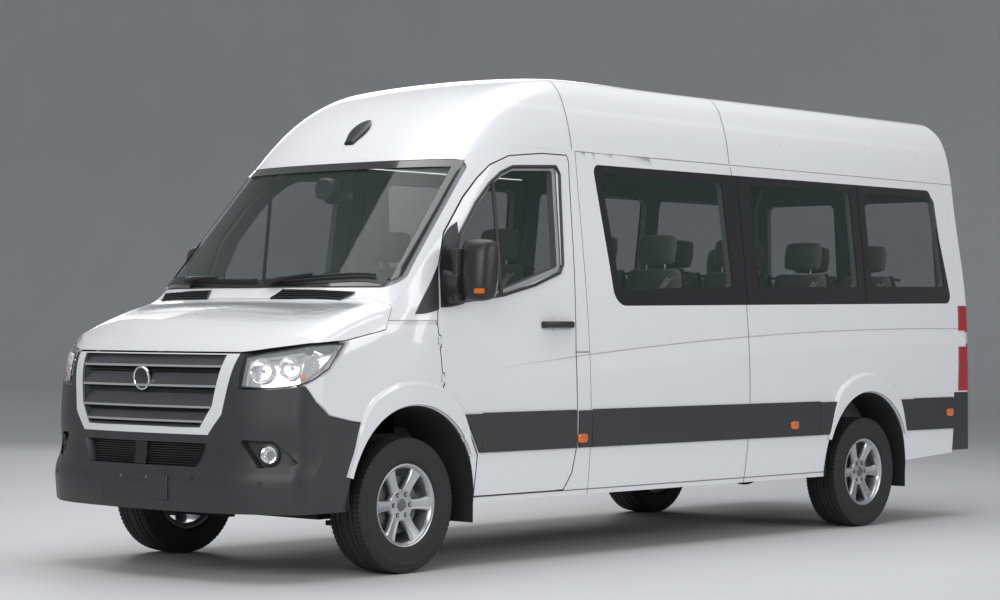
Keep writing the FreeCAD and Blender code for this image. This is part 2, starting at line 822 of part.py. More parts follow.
def bonnet_zone(gap):
    """The space of the bonnet, drawn in by a gap all round."""
    seam = bonnet_seam()
    zone = side_prism(moved([(seam[0][0], 1900)] + seam + [(1250, 1900)], gap), 0, -1300, 1300)
    half = S.body_width / 2
    rear = []
    for share in (-1, -0.94, -0.85, -0.7, -0.45, -0.2, 0, 0.2, 0.45, 0.7, 0.85, 0.94, 1):
        crease = S.screen_base_x + 44 - bow(share * half, S.screen_bow)
        rear.append(Vec(crease + gap, share * half, 1000))
    places = [point.y + half for point in rear]
    corners = [rear[-1], Vec(1400, half, 1000), Vec(1400, -half, 1000), rear[0]]
    lines = [Part.makeLine(a, b) for a, b in zip(corners, corners[1:])]
    wire = Part.Wire([smooth(rear, places).toShape()] + lines)
    return zone.common(Part.Face(wire).extrude(Vec(0, 0, 900)))


def grille():
    """Slats across the mouth on a plate behind them, the latch bar of the bonnet and the lower mesh plate."""
    wide = 700
    inside = front_prism(moved(MOUTH, S.seat_gap), 0, 300)
    plate = layer(40, S.wall).common(inside)
    slats = layer(S.glass_recess + S.glass_thickness, S.wall)
    bars = []
    for level in range(5):
        height = 832 + level * 66
        bars.append(front_prism([(-wide, height - 13), (wide, height - 13), (wide, height + 13), (-wide, height + 13)], 0, 300))
    rows = bars[0].multiFuse(bars[1:]).common(inside)
    low = layer(40, S.wall).common(front_prism(moved(LOW_MOUTH, S.seat_gap), 11, 300))
    badge = Part.makeCylinder(64, 44, Vec(938, 0, 1000), Vec(1, 0, 0.12))
    latch = block(826, 960, -300, 300, 1006, 1046 - S.seat_gap).common(volume(40))
    return plate.fuse([slats.common(rows), latch, badge, low])


# Pieces drawn from sketches and primitives, with their sizes bound to the sheet


def number(formula):
    """The value of a formula in the sheet's terms."""
    return float(sheet.evalExpression(str(formula)))


def bind(thing, **formulas):
    """Bind an object's properties to formulas; a double underscore stands for a dot."""
    for name, formula in formulas.items():
        thing.setExpression(name.replace("__", "."), str(formula))
    return thing


def sketch(body, role, points):
    """A closed sketch of straight lines on one of a body's origin planes, its corners bound to formulas."""
    plane = [feature for feature in body.Origin.OriginFeatures if feature.Role == role][0]
    drawing = body.newObject("Sketcher::SketchObject", "Sketch")
    drawing.AttachmentSupport = [(plane, "")]
    drawing.MapMode = "FlatFace"
    corners = [Vec(number(x), number(y), 0) for x, y in points]
    count = len(corners)
    for index in range(count):
        drawing.addGeometry(Part.LineSegment(corners[index], corners[(index + 1) % count]), False)
    for index in range(count):
        drawing.addConstraint(Sketcher.Constraint("Coincident", index, 2, (index + 1) % count, 1))
    for index, (x, y) in enumerate(points):
        for kind, place, formula in (("DistanceX", corners[index].x, x), ("DistanceY", corners[index].y, y)):
            constraint = drawing.addConstraint(Sketcher.Constraint(kind, -1, 1, index, 1, place))
            drawing.setExpression(f"Constraints[{constraint}]", str(formula))
    return drawing


def padded(label, role, points, length, body=None):
    """A body padded both ways from one of its origin planes."""
    body = body or doc.addObject("PartDesign::Body", label)
    pad = body.newObject("PartDesign::Pad", "Pad")
    pad.Profile = sketch(body, role, points)
    pad.Midplane = True
    bind(pad, Length=length)
    return body


def turned(label, points, body=None):
    """A body turned about the transverse axis, its profile given as across and radius."""
    body = body or doc.addObject("PartDesign::Body", label)
    turn = body.newObject("PartDesign::Revolution", "Turn")
    turn.Profile = sketch(body, "YZ_Plane", points)
    turn.ReferenceAxis = (turn.Profile[0], ["H_Axis"])
    turn.Angle = 360
    return body


def box(length, width, height, x, y, z):
    """A box between its low corner and its lengths."""
    solid = doc.addObject("Part::Box", "Box")
    bind(solid, Length=length, Width=width, Height=height)
    return bind(solid, Placement__Base__x=x, Placement__Base__y=y, Placement__Base__z=z)


def rod(radius, length, x, y, z, along="y"):
    """A cylinder along one axis from its low end."""
    solid = doc.addObject("Part::Cylinder", "Rod")
    bind(solid, Radius=radius, Height=length)
    if along == "y":
        solid.Placement.Rotation = FreeCAD.Rotation(Vec(1, 0, 0), -90)
    if along == "x":
        solid.Placement.Rotation = FreeCAD.Rotation(Vec(0, 1, 0), 90)
    return bind(solid, Placement__Base__x=x, Placement__Base__y=y, Placement__Base__z=z)


def joined(label, shapes):
    """A fusion of several objects."""
    whole = doc.addObject("Part::MultiFuse", label)
    whole.Shapes = shapes
    return whole


def less(label, base, tool):
    """A body less a tool."""
    rest = doc.addObject("Part::Cut", label)
    rest.Base = base
    rest.Tool = tool
    return rest


def grouped(label, shapes):
    """Solids that don't touch, in one sub-part."""
    whole = doc.addObject("Part::Compound", label)
    whole.Links = shapes
    return whole


def wheel(label, place_x, side):
    """A tyre and its alloy wheel, the open face outwards."""
    half = "Sizes.tyre_width / 2"
    tread = "Sizes.tyre_radius"
    bead = "Sizes.bead_radius"
    tyre = turned(f"tyre_{label}", [
        (f"-{half} + 21.3", f"{bead} + 0.3"), (f"-{half} + 21.3", f"{bead} + 16"), (f"-{half} + 4", f"{bead} + 30"), (f"-{half}", f"{bead} + 75"),
        (f"-{half} + 10", f"{tread} - 30"), (f"-{half} + 34", f"{tread} - 4"), ("0", tread),
        (f"{half} - 34", f"{tread} - 4"), (f"{half} - 10", f"{tread} - 30"), (half, f"{bead} + 75"),
        (f"{half} - 4", f"{bead} + 30"), (f"{half} - 21.3", f"{bead} + 16"), (f"{half} - 21.3", f"{bead} + 0.3"),
    ])
    rim = turned(f"rim_{label}", [
        (f"-{half} + 21", bead), (f"-{half} + 21", f"{bead} + 14"), (f"-{half} + 12", f"{bead} + 14"),
        (f"-{half} + 12", f"{bead} - 8"), (f"{half} - 62", f"{bead} - 8"), (f"{half} - 62", "80"), (f"{half} - 76", "80"),
        (f"{half} - 76", "Sizes.spindle_radius + Sizes.spindle_gap"),
        (f"{half} - 34", "Sizes.spindle_radius + Sizes.spindle_gap"), (f"{half} - 34", "80"),
        (f"{half} - 22", f"{bead} - 14"), (f"{half} - 12", f"{bead} - 8"), (f"{half} - 12", f"{bead} + 14"),
        (f"{half} - 21", f"{bead} + 14"), (f"{half} - 21", bead),
    ])
    slot = rim.newObject("PartDesign::Pocket", "Window")
    slot.Profile = sketch(rim, "XZ_Plane", [("-22", "92"), ("22", "92"), ("52", "176"), ("0", "184"), ("-52", "176")])
    slot.Midplane = True
    bind(slot, Length="Sizes.tyre_width * 2")
    pattern = rim.newObject("PartDesign::PolarPattern", "Windows")
    pattern.Originals = [slot]
    pattern.Axis = ([f for f in rim.Origin.OriginFeatures if f.Role == "Y_Axis"][0], [""])
    pattern.Angle = 360
    pattern.Occurrences = 6
    rim.Tip = pattern
    for piece in (tyre, rim):
        if side < 0:
            piece.Placement.Rotation = FreeCAD.Rotation(Vec(0, 0, 1), 180)
        keep(piece, piece.Name)
        bind(piece, Placement__Base__x=f"{AXLE} + {place_x}", Placement__Base__y=f"{side} * Sizes.track / 2",
             Placement__Base__z="Sizes.tyre_radius")


KINGPIN = "(Sizes.track / 2 - Sizes.kingpin_offset)"
RAIL_LOW = "(Sizes.floor_height - Sizes.rail_depth)"
WALL_INSIDE = "(Sizes.body_width / 2 - Sizes.wall)"


def knuckle(label, side):
    """A steering knuckle with its spindle, ball pins and steering arm, on the left and mirrored on the right."""
    centre = "Sizes.tyre_radius"
    upright = box("60", "34", "210", "-30", f"{KINGPIN} - 17", f"{centre} - 100")
    spindle = rod("Sizes.spindle_radius", "Sizes.kingpin_offset + Sizes.tyre_width / 2 - 36", "0", KINGPIN, centre)
    arm = box("Sizes.steering_arm + 40", "30", "18", "-Sizes.steering_arm - 20", f"{KINGPIN} - 15", f"{centre} - 66")
    low_pin = rod("11", "40", "0", KINGPIN, f"{centre} - 138", "z")
    high_pin = rod("11", "40", "0", KINGPIN, f"{centre} + 102", "z")
    whole = joined(f"knuckle_{label}", [upright, spindle, arm, low_pin, high_pin])
    return place_side(whole, side)


def place_side(thing, side):
    """Keep a piece drawn on the left, turned about the kingpins' mirror plane when it belongs on the right."""
    if side > 0:
        return keep(thing, thing.Name)
    flipped = doc.addObject("Part::Mirroring", f"{thing.Name}_mirrored")
    flipped.Source = thing
    flipped.Base = Vec(0, 0, 0)
    flipped.Normal = Vec(0, 1, 0)
    name = thing.Name
    thing.Label = f"{name}_drawn"
    return keep(flipped, name)


def suspension():
    """The front crossmember, arms with their ball seats, dampers and the housing of the track rod."""
    centre = "Sizes.tyre_radius"
    parts = [box("300", "Sizes.rail_offset * 2 + 60", "70", "-150", "-Sizes.rail_offset - 30", "262")]
    rod_z = f"{centre} - 66 - 7 - 8"
    housing = rod("27", "600", "-Sizes.steering_arm", "-300", rod_z)
    for side in (1, -1):
        low = f"{side} * {KINGPIN}"
        for height, thick in ((f"{centre} - 133", "26"), (f"{centre} + 117", "20")):
            arm = doc.addObject("Part::Box", "Arm")
            start = "Sizes.rail_offset - 30" if side > 0 else f"-{KINGPIN} - 22"
            bind(arm, Length="70", Width=f"{KINGPIN} + 52 - Sizes.rail_offset", Height=thick)
            bind(arm, Placement__Base__x="-35", Placement__Base__y=start, Placement__Base__z=height)
            seat = rod("11 + Sizes.spindle_gap", "60", "0", low, f"{height} - 10", "z")
            parts.append(less("ArmCut", arm, seat))
        parts.append(box("90", "60", f"{RAIL_LOW} - Sizes.seat_gap - 262", "-45", f"{side} * Sizes.rail_offset - 30", "262"))
        parts.append(rod("34", f"Sizes.floor_height - Sizes.seat_gap - {centre} + 110", "0", f"{side} * 560",
                         f"{centre} - 110", "z"))
    parts.append(housing)
    body = joined("SuspensionSolid", parts)
    keep(less("front_suspension", body, rod("Sizes.rod_radius + Sizes.spindle_gap", "2000", "-Sizes.steering_arm",
                                            "-1000", rod_z)), "front_suspension")
    track = rod("Sizes.rod_radius", f"{KINGPIN} * 2", "-Sizes.steering_arm", f"-{KINGPIN}", rod_z)
    eyes = [rod("22", "16", "-Sizes.steering_arm", f"{side} * {KINGPIN}", f"{rod_z} - 8", "z") for side in (1, -1)]
    keep(joined("track_rod", [track] + eyes), "track_rod")


def running_gear():
    """Rear axle with its springs and propeller shaft."""
    centre = "Sizes.tyre_radius"
    rear = "-Sizes.wheelbase"
    tube = rod("48", "Sizes.track - Sizes.tyre_width - 20", rear, "-Sizes.track / 2 + Sizes.tyre_width / 2 + 10", centre)
    ends = [rod("Sizes.spindle_radius", "Sizes.tyre_width - 26", rear, place, centre) for place in
            ("Sizes.track / 2 - Sizes.tyre_width / 2 - 10", "-Sizes.track / 2 - Sizes.tyre_width / 2 + 36")]
    case = doc.addObject("Part::Sphere", "Case")
    bind(case, Radius="128", Placement__Base__x=rear, Placement__Base__z=centre)
    shaft = rod("38", "Sizes.wheelbase - 1000", f"{rear} + 60", "0", f"{centre} + 40", "x")
    keep(joined("rear_axle", [tube, case, shaft] + ends), "rear_axle")
    leaves = []
    for side in (1, -1):
        body = padded("Leaf", "XZ_Plane", [
            (f"{rear} - 640", "500"), (f"{rear} - 420", "452"), (f"{rear}", "438"), (f"{rear} + 420", "452"),
            (f"{rear} + 640", "500"), (f"{rear} + 640", "470"), (f"{rear} + 420", "424"),
            (f"{rear}", f"{centre} + 48.3"), (f"{rear} - 420", "424"), (f"{rear} - 640", "470"),
        ], "Sizes.spring_width")
        bind(body, Placement__Base__y=f"{side} * (Sizes.rail_offset + Sizes.rail_width / 2 + 50)")
        leaves.append(body)
    hangers = []
    for side in (1, -1):
        for end in (-640, 610):
            hangers.append(box("30", "80", "70", f"{rear} + {end}",
                               f"{side} * (Sizes.rail_offset + Sizes.rail_width / 2 + 40 + Sizes.seat_gap) - 40", "470"))
    keep(joined("leaf_springs", leaves + hangers), "leaf_springs")


def underframe():
    """Two rails under the floor with crossmembers, outriggers to the sills and pads for a jack."""
    top = "Sizes.floor_height"
    low = f"{top} - Sizes.rail_depth"
    start = "-Sizes.wheelbase - Sizes.rear_overhang + 190 + Sizes.seat_gap"
    length = "Sizes.wheelbase + Sizes.rear_overhang + 590 - Sizes.seat_gap"
    parts = []
    for side in (1, -1):
        inner = f"{side} * Sizes.rail_offset - Sizes.rail_width / 2"
        parts.append(box(length, "Sizes.rail_width", "Sizes.rail_depth", start, inner, low))
        for x in ("-900", "-3550"):
            parts.append(box("Sizes.jack_pad_length", "Sizes.rail_width", "Sizes.jack_pad_depth",
                             f"{x} - Sizes.jack_pad_length / 2", inner, f"{low} - Sizes.jack_pad_depth"))
    for x in ("-1250", "-2150", "-3000", "-3700", "-5080", "-5520"):
        parts.append(box("60", "Sizes.rail_offset * 2", "70", x, "-Sizes.rail_offset", f"{top} - 70"))
    for x in ("-1450", "-2300", "-3300"):
        reach = f"({WALL_INSIDE} - Sizes.wall_slack - 3.2)"
        parts.append(box("60", f"2 * {reach}", "50", x, f"-{reach}", f"{top} - 50"))
    keep(joined("underframe", parts), "underframe")


def floor():
    """The floor plate with boxes over the rear wheels and the bulkhead in front of the cab."""
    top = "Sizes.floor_height"
    rear = "-Sizes.wheelbase"
    end = "-Sizes.wheelbase - Sizes.rear_overhang + 150"
    edge = f"({WALL_INSIDE} - Sizes.wall_slack)"
    well = "Sizes.well_offset"
    plate = box("Sizes.wheelbase + Sizes.rear_overhang - 1650", f"2 * {edge}", "Sizes.floor_thickness", end,
                f"-{edge}", top)
    cab = box("1480", "Sizes.body_width - 290", "Sizes.floor_thickness", "-1510", "-Sizes.body_width / 2 + 145", top)
    bulkhead = box("30", "Sizes.body_width - 260", "700", "-30", "-Sizes.body_width / 2 + 130", f"{top}")
    cuts = [box("2 * Sizes.arch_radius", "400", "400", f"{rear} - Sizes.arch_radius",
                f"{y}", f"{top} - 100") for y in (well, f"-{well} - 400")]
    cuts += [box("700", "500", "400", "-500", f"{y}", f"{top} - 100") for y in ("530", "-1030")]
    cuts += [box("300", "300", "400", f"{end} - 60", f"{y}", f"{top} - 100") for y in ("790", "-1090")]
    body = less("FloorPlate", joined("FloorWhole", [plate, cab, bulkhead]), joined("FloorCuts", cuts))
    boxes = []
    for side in (1, -1):
        start = well if side > 0 else f"-{edge}"
        hood = box("2 * Sizes.arch_radius + 34", f"{edge} - {well}", "Sizes.well_height",
                   f"{rear} - Sizes.arch_radius - 22", start, f"{top} + 1")
        inside = box("2 * Sizes.arch_radius + 14", "400", "Sizes.well_height - 10", f"{rear} - Sizes.arch_radius - 12",
                     f"{well} + 10" if side > 0 else f"-{well} - 410", f"{top} - 20")
        boxes.append(less("WheelBox", hood, inside))
    keep(joined("floor", [body] + boxes), "floor")


def liner_solid(near, arch_x):
    """The lining of one wheel arch on the left with its mud flap, which hangs from the lining's rear end."""
    far = S.body_width / 2 - 12
    outer = S.arch_radius - S.seat_gap
    inner = outer - S.liner_thickness
    tube = arch(arch_x, outer, near, far).cut(arch(arch_x, inner, near, far))
    tube = tube.common(block(arch_x - 900, arch_x + 900, near, far, S.arch_height - 50, 2000))
    flap = block(arch_x - outer + S.flap_shift, arch_x - inner + S.flap_shift, far - 190, far, 240, S.arch_height - 20)
    return tube.fuse(flap)


def arch_liners():
    """The linings of all four wheel arches."""
    front = liner_solid(610, S.arch_offset)
    rear = liner_solid(S.well_offset + 14, -S.wheelbase - 5)
    keep_shape(Part.makeCompound([front, mirrored(front), rear, mirrored(rear)]), "arch_liners")


def strip(label, spans, side):
    """Lengths of the dark rub strip along one side, each with slanted ends."""
    pieces = []
    face = "Sizes.body_width / 2 + Sizes.seat_gap"
    for start, end in spans:
        rise = "(Sizes.strip_high - Sizes.strip_low)"
        body = padded("Strip", "XZ_Plane", [
            (end, "Sizes.strip_low"), (f"{start}", "Sizes.strip_low"), (f"{start}", "Sizes.strip_high - 12"),
            (f"{start} - 12", "Sizes.strip_high"), (f"{end} + 12", "Sizes.strip_high"), (end, f"Sizes.strip_low + {rise} - 12"),
        ], "Sizes.strip_thickness")
        bind(body, Placement__Base__y=f"{side} * ({face} + Sizes.strip_thickness / 2)")
        pieces.append(body)
    return pieces


def strips():
    """Rub strips on the fixed sides and on the front doors."""
    ahead = ("Sizes.b_seam_x - 6", "-Sizes.wheelbase + Sizes.arch_radius + 70")
    slide = [("Sizes.b_seam_x - 10", "Sizes.mid_seam_x + 10"), ("Sizes.mid_seam_x - 6", "-Sizes.wheelbase + Sizes.arch_radius + 70")]
    behind = ("-Sizes.wheelbase - Sizes.arch_radius - 75", "-Sizes.wheelbase - 1070")
    keep(grouped("rub_strips", strip("left", [ahead, behind], 1) + strip("right", slide + [behind], -1)), "rub_strips")
    for label, side in (("left", 1), ("right", -1)):
        bar = strip(label, [("Sizes.door_front_x - 330", "Sizes.door_rear_x + 12")], side)[0]
        handle = box("250", "20", "34", "Sizes.door_rear_x + 34", f"{side} * (Sizes.body_width / 2 - 10.8) - 10", "1286")
        keep(grouped(f"door_trim_{label}", [bar, handle]), f"door_trim_{label}")


def drive_train():
    """The engine as one plain block with the gearbox behind it, the tank and the exhaust."""
    centre = "Sizes.tyre_radius"
    mounts = [box("60", "80", "80", "80", f"{y}", "332 + Sizes.seat_gap") for y in ("-220", "140")]
    block_part = box("620", "520", "610", "60", "-260", "400")
    gearbox = rod("125", "960", "-880", "0", f"{centre} + 126", "x")
    keep(joined("engine", [block_part, gearbox] + mounts), "engine")
    tank = box("1050", "370", "Sizes.tank_depth", "-2750", "-870",
               "Sizes.floor_height - 50 - Sizes.seat_gap - Sizes.tank_depth")
    keep(joined("fuel_tank", [tank, box("60", "370", "30", "-2000", "-870", "Sizes.floor_height - 60 - Sizes.tank_depth")]),
         "fuel_tank")
    level = "470"
    pipe = rod("27", "4200", "-5560", "600", level, "x")
    silencer = rod("90", "620", "-3240", "600", level, "x")
    hangers = [box("24", "30", f"Sizes.floor_height - {drop} - Sizes.seat_gap - {level}", x, "585", level)
               for x, drop in (("-3282", "50"), ("-2282", "50"), ("-5200", "0"))]
    keep(joined("exhaust", [pipe, silencer] + hangers), "exhaust")


def seat_solid(x, y, base):
    """A plain seat on its plinth: cushion, leaning back and headrest in one outline."""
    body = padded("Seat", "XZ_Plane", [
        (f"{x} + 240", f"{base}"), (f"{x} + 240", f"{base} + 130"), (f"{x} - 140", f"{base} + 110"),
        (f"{x} - 230", f"{base} + Sizes.back_height"), (f"{x} - 215", f"{base} + Sizes.back_height + 60"),
        (f"{x} - 225", f"{base} + Sizes.back_height + 210"), (f"{x} - 305", f"{base} + Sizes.back_height + 210"),
        (f"{x} - 330", f"{base} + Sizes.back_height + 60"), (f"{x} - 350", f"{base} + Sizes.back_height"),
        (f"{x} - 250", f"{base}"),
    ], "Sizes.seat_width")
    bind(body, Placement__Base__y=y)
    return body


def plinth(x, y, base):
    """The metal box or legs under a seat."""
    start = "(Sizes.floor_height + Sizes.floor_thickness + Sizes.seat_gap)"
    return box("320", "200", f"{base} - Sizes.seat_gap - {start}", f"{x} - 190", f"{y} - 100", start)


def cabin():
    """Seats on their plinths, dashboard, steering wheel and mirror."""
    base = "Sizes.floor_height + Sizes.floor_thickness + Sizes.seat_height - 130"
    front = [("-1010", f"{side} * Sizes.driver_offset") for side in (1, -1)]
    keep(grouped("front_seats", [seat_solid(x, y, base) for x, y in front]), "front_seats")
    places = []
    for row in range(4):
        for y in ("610", "150", "-610"):
            places.append((f"Sizes.first_row_x - {row} * Sizes.row_pitch", y))
    keep(grouped("saloon_seats", [seat_solid(x, y, base) for x, y in places]), "saloon_seats")
    stands = [plinth(x, f"({y}) * 0.91", base) for x, y in front + places]
    keep(grouped("seat_bases", stands), "seat_bases")


def steering():
    """The steering wheel on its short column."""
    outer = "Sizes.wheel_ring"
    ring = turned("Ring", [("-14", f"{outer} - 20"), ("-14", f"{outer} - 10"), ("0", outer), ("14", f"{outer} - 10"),
                           ("14", f"{outer} - 20"), ("0", f"{outer} - 30")])
    ring.Placement.Rotation = FreeCAD.Rotation(Vec(1, 0, 0), 90)
    hub = doc.addObject("Part::Cylinder", "Hub")
    bind(hub, Radius="62", Height="40", Placement__Base__z="-45")
    parts = [ring, hub]
    for turn in (0, 180, 270):
        arm = doc.addObject("Part::Box", "Spoke")
        bind(arm, Length="Sizes.wheel_ring - 20", Width="34", Height="16")
        arm.Placement = FreeCAD.Placement(Vec(0, 0, -20), FreeCAD.Rotation(Vec(0, 0, 1), turn)) * \
            FreeCAD.Placement(Vec(0, -17, 0), FreeCAD.Rotation())
        parts.append(arm)
    whole = joined("steering_wheel", parts)
    whole.Placement.Rotation = FreeCAD.Rotation(Vec(0, 1, 0), -S.column_tilt)
    keep(whole, "steering_wheel")
    bind(whole, Placement__Base__x=f"{AXLE} - 600", Placement__Base__y="-Sizes.driver_offset", Placement__Base__z="1330")


def dashboard():
    """The dashboard between bulkhead and cab, fitted to the inside of the skin."""
    ahead = -30 - S.seat_gap
    profile = [(ahead, 1310), (-60, 1352), (-330, 1336), (-470, 1270), (-480, 1180), (-400, 1010), (-330, 930),
               (ahead, 930)]
    solid = side_prism(profile, 0, -850, 850)
    axis = Vec(math.sin(math.radians(S.column_tilt)), 0, -math.cos(math.radians(S.column_tilt)))
    foot = Vec(-600, -S.driver_offset, 1330) + axis * 46
    column = Part.makeCylinder(38, 290, foot, axis)
    keep_shape(solid.fuse(column), "dashboard")


def mirrors_and_trim():
    """Outside mirrors, rub strips, arch liners with their flaps, and wipers."""
    front = S.door_front_x
    head = block(front - 190, front - 190 + S.mirror_depth, 1010, 1010 + S.mirror_width, 1418, 1418 + S.mirror_height)
    arm = block(front - 170, front - 110, 930, 1012, 1440, 1500)
    whole = head.fuse(arm.cut(volume(0)))
    keep_shape(whole, "mirror_left")
    keep_shape(mirrored(whole), "mirror_right")


def write(folder):
    """Check every object and write each sub-part."""
    doc.recompute()
    for thing in doc.Objects:
        if "Invalid" in thing.State or "Error" in thing.State:
            raise RuntimeError(f"{thing.Name} ({thing.Label}) failed: {thing.State}")
    os.makedirs(folder, exist_ok=True)
    for thing in subparts:
        if thing.Shape.isNull() or not thing.Shape.isValid():
            raise RuntimeError(f"{thing.Label} has no valid shape")
        thing.Shape.exportStep(os.path.join(folder, f"{thing.Label}.step"))
        print(thing.Label, len(thing.Shape.Solids), round(thing.Shape.Volume / 1e6, 2))


def main():
    """Build and write everything."""
    sides()
    roof_and_cab()
    nose()
    front_doors()
    rear_doors()
    rear_bumper()
    for label, place_x, side in (("front_left", "0", 1), ("front_right", "0", -1),
                                 ("rear_left", "-Sizes.wheelbase", 1), ("rear_right", "-Sizes.wheelbase", -1)):
        wheel(label, place_x, side)
    knuckle("left", 1)
    knuckle("right", -1)
    suspension()
    running_gear()
    underframe()
    floor()
    arch_liners()
    strips()
    drive_train()
    cabin()
    steering()
    dashboard()
    mirrors_and_trim()
    write("parts")


if __name__ == "__main__":
    main()
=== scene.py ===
"""A white high-roof minibus: finishes, wheels, seats, lamps and trim round its solid construction.

Places are in metres from the front axle's line on the ground: x forwards, y to the vehicle's left, z up.
"""

import math

import bpy
from mathutils import Matrix, Vector
from mathutils.bvhtree import BVHTree


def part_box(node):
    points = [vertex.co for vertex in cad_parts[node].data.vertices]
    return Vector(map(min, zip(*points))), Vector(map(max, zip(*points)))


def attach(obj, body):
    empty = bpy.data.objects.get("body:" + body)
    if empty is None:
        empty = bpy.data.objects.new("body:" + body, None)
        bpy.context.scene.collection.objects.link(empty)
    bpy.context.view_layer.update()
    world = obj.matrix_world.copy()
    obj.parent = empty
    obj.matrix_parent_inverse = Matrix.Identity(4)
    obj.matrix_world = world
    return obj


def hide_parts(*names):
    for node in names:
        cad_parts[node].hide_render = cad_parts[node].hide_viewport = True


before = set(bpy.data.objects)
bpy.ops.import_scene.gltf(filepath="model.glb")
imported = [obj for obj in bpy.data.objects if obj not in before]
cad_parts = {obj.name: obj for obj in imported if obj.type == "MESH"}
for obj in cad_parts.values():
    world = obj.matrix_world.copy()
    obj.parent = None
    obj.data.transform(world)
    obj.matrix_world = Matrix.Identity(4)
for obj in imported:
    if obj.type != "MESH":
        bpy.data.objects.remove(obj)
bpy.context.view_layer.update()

LEFT, RIGHT = 1, -1
SIDES = {"left": LEFT, "right": RIGHT}


def middle(node):
    """The centre of a node's box."""
    low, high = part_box(node)
    return (low + high) / 2


FRONT = middle("rim_front_left").x
REAR = middle("rim_rear_left").x - FRONT
TYRE_LOW, TYRE_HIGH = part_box("tyre_front_left")
TYRE_RADIUS = (TYRE_HIGH.z - TYRE_LOW.z) / 2
TYRE_WIDTH = TYRE_HIGH.y - TYRE_LOW.y

# The wheel arches: radius of the opening, places of their centres and their height
ARCH_RADIUS = 0.475
FRONT_ARCH = -0.03
REAR_ARCH = REAR - 0.005
ARCH_HEIGHT = 0.4


def at(x, y, z):
    """A place given from the front axle."""
    return Vector((FRONT + x, y, z))


# Finishes: shader maths written as expressions


class Wire:
    """A value on its way through a material's nodes; Python's operators add Math nodes."""

    def __init__(self, finish, socket):
        self.finish = finish
        self.socket = socket

    def math(self, operation, *others):
        inputs = {i: value for i, value in enumerate((self, *others))}
        return self.finish.node("ShaderNodeMath", {"operation": operation}, inputs)

    def flipped(self, operation, other):
        return self.finish.node("ShaderNodeMath", {"operation": operation}, {0: other, 1: self})

    def __add__(self, other):
        return self.math("ADD", other)

    def __sub__(self, other):
        return self.math("SUBTRACT", other)

    def __mul__(self, other):
        return self.math("MULTIPLY", other)

    def __truediv__(self, other):
        return self.math("DIVIDE", other)

    def __rsub__(self, other):
        return self.flipped("SUBTRACT", other)

    def __rtruediv__(self, other):
        return self.flipped("DIVIDE", other)

    def __abs__(self):
        return self.math("ABSOLUTE")

    __radd__ = __add__
    __rmul__ = __mul__

    def highest(self, other):
        return self.math("MAXIMUM", other)

    def lowest(self, other):
        return self.math("MINIMUM", other)

    def rise(self, start, end):
        """0 before start, 1 after end, smooth between; start may lie after end."""
        low, high, first, last = (start, end, 0, 1) if start < end else (end, start, 1, 0)
        ramp = {0: self, 1: low, 2: high, 3: first, 4: last}
        return self.finish.node("ShaderNodeMapRange", {"interpolation_type": "SMOOTHSTEP"}, ramp)

    def band(self, centre, width, soft=0.4):
        """1 on a line of a given width, 0 away from it."""
        return abs(self - centre).rise(width * (0.5 + soft), width * (0.5 - soft))


class Finish:
    """A material: one Principled shader and the nodes that vary it."""

    def __init__(self, name, colour, roughness, **constants):
        self.material = bpy.data.materials.new(name)
        self.material.use_nodes = True
        self.tree = self.material.node_tree
        self.tree.nodes.clear()
        self.shader = self.tree.nodes.new("ShaderNodeBsdfPrincipled")
        self.output = self.tree.nodes.new("ShaderNodeOutputMaterial")
        self.tree.links.new(self.shader.outputs[0], self.output.inputs["Surface"])
        self.feed(self.shader, "Base Color", colour)
        self.feed(self.shader, "Roughness", roughness)
        for socket, value in constants.items():
            self.feed(self.shader, socket.replace("_", " "), value)

    def feed(self, node, socket, value):
        """Give a socket a number, a colour or a wire."""
        target = node.inputs[socket]
        if isinstance(value, Wire):
            self.tree.links.new(value.socket, target)
        elif isinstance(value, (tuple, list, Vector)) and len(value) == 3 and target.type == "RGBA":
            target.default_value = (*value, 1)
        else:
            target.default_value = value

    def node(self, kind, settings=None, inputs=None, out=0):
        """Any node: its settings first, then its sockets' values or links."""
        node = self.tree.nodes.new(kind)
        for name, value in (settings or {}).items():
            setattr(node, name, value)
        for socket, value in (inputs or {}).items():
            self.feed(node, socket, value)
        return Wire(self, node.outputs[out])

    def vary(self, socket, value):
        """Let one of the shader's sockets vary over the surface."""
        self.feed(self.shader, socket, value)
        return self

    def coordinates(self):
        """The point's place on the resting vehicle, as a vector."""
        return self.node("ShaderNodeTexCoord", out="Object")

    def place(self):
        """The point's x from the front axle, its y and its z."""
        vector = self.coordinates()
        x, y, z = (self.node("ShaderNodeSeparateXYZ", inputs={0: vector}, out=i) for i in range(3))
        return x - FRONT, y, z

    def facing(self):
        """The surface's own direction, as three values."""
        normal = self.node("ShaderNodeNewGeometry", out="True Normal")
        return [self.node("ShaderNodeSeparateXYZ", inputs={0: normal}, out=i) for i in range(3)]

    def noise(self, scale, detail=2, roughness=0.5, stretch=None):
        """A noise from 0 to 1, stretched along the axes if wanted."""
        vector = self.coordinates()
        if stretch:
            vector = self.node("ShaderNodeVectorMath", {"operation": "MULTIPLY"}, {0: vector, 1: stretch})
        sockets = {"Vector": vector, "Scale": scale, "Detail": detail, "Roughness": roughness}
        return self.node("ShaderNodeTexNoise", inputs=sockets)

    def mix(self, factor, first, second):
        """A colour between two colours."""
        settings = {"data_type": "RGBA"}
        return self.node("ShaderNodeMix", settings, {0: factor, 6: first, 7: second}, out=2)

    def bump(self, height, strength=1.0):
        """Tilt the surface by a height in metres."""
        normal = self.node("ShaderNodeBump", inputs={"Height": height, "Distance": 1.0, "Strength": strength})
        return self.vary("Normal", normal)


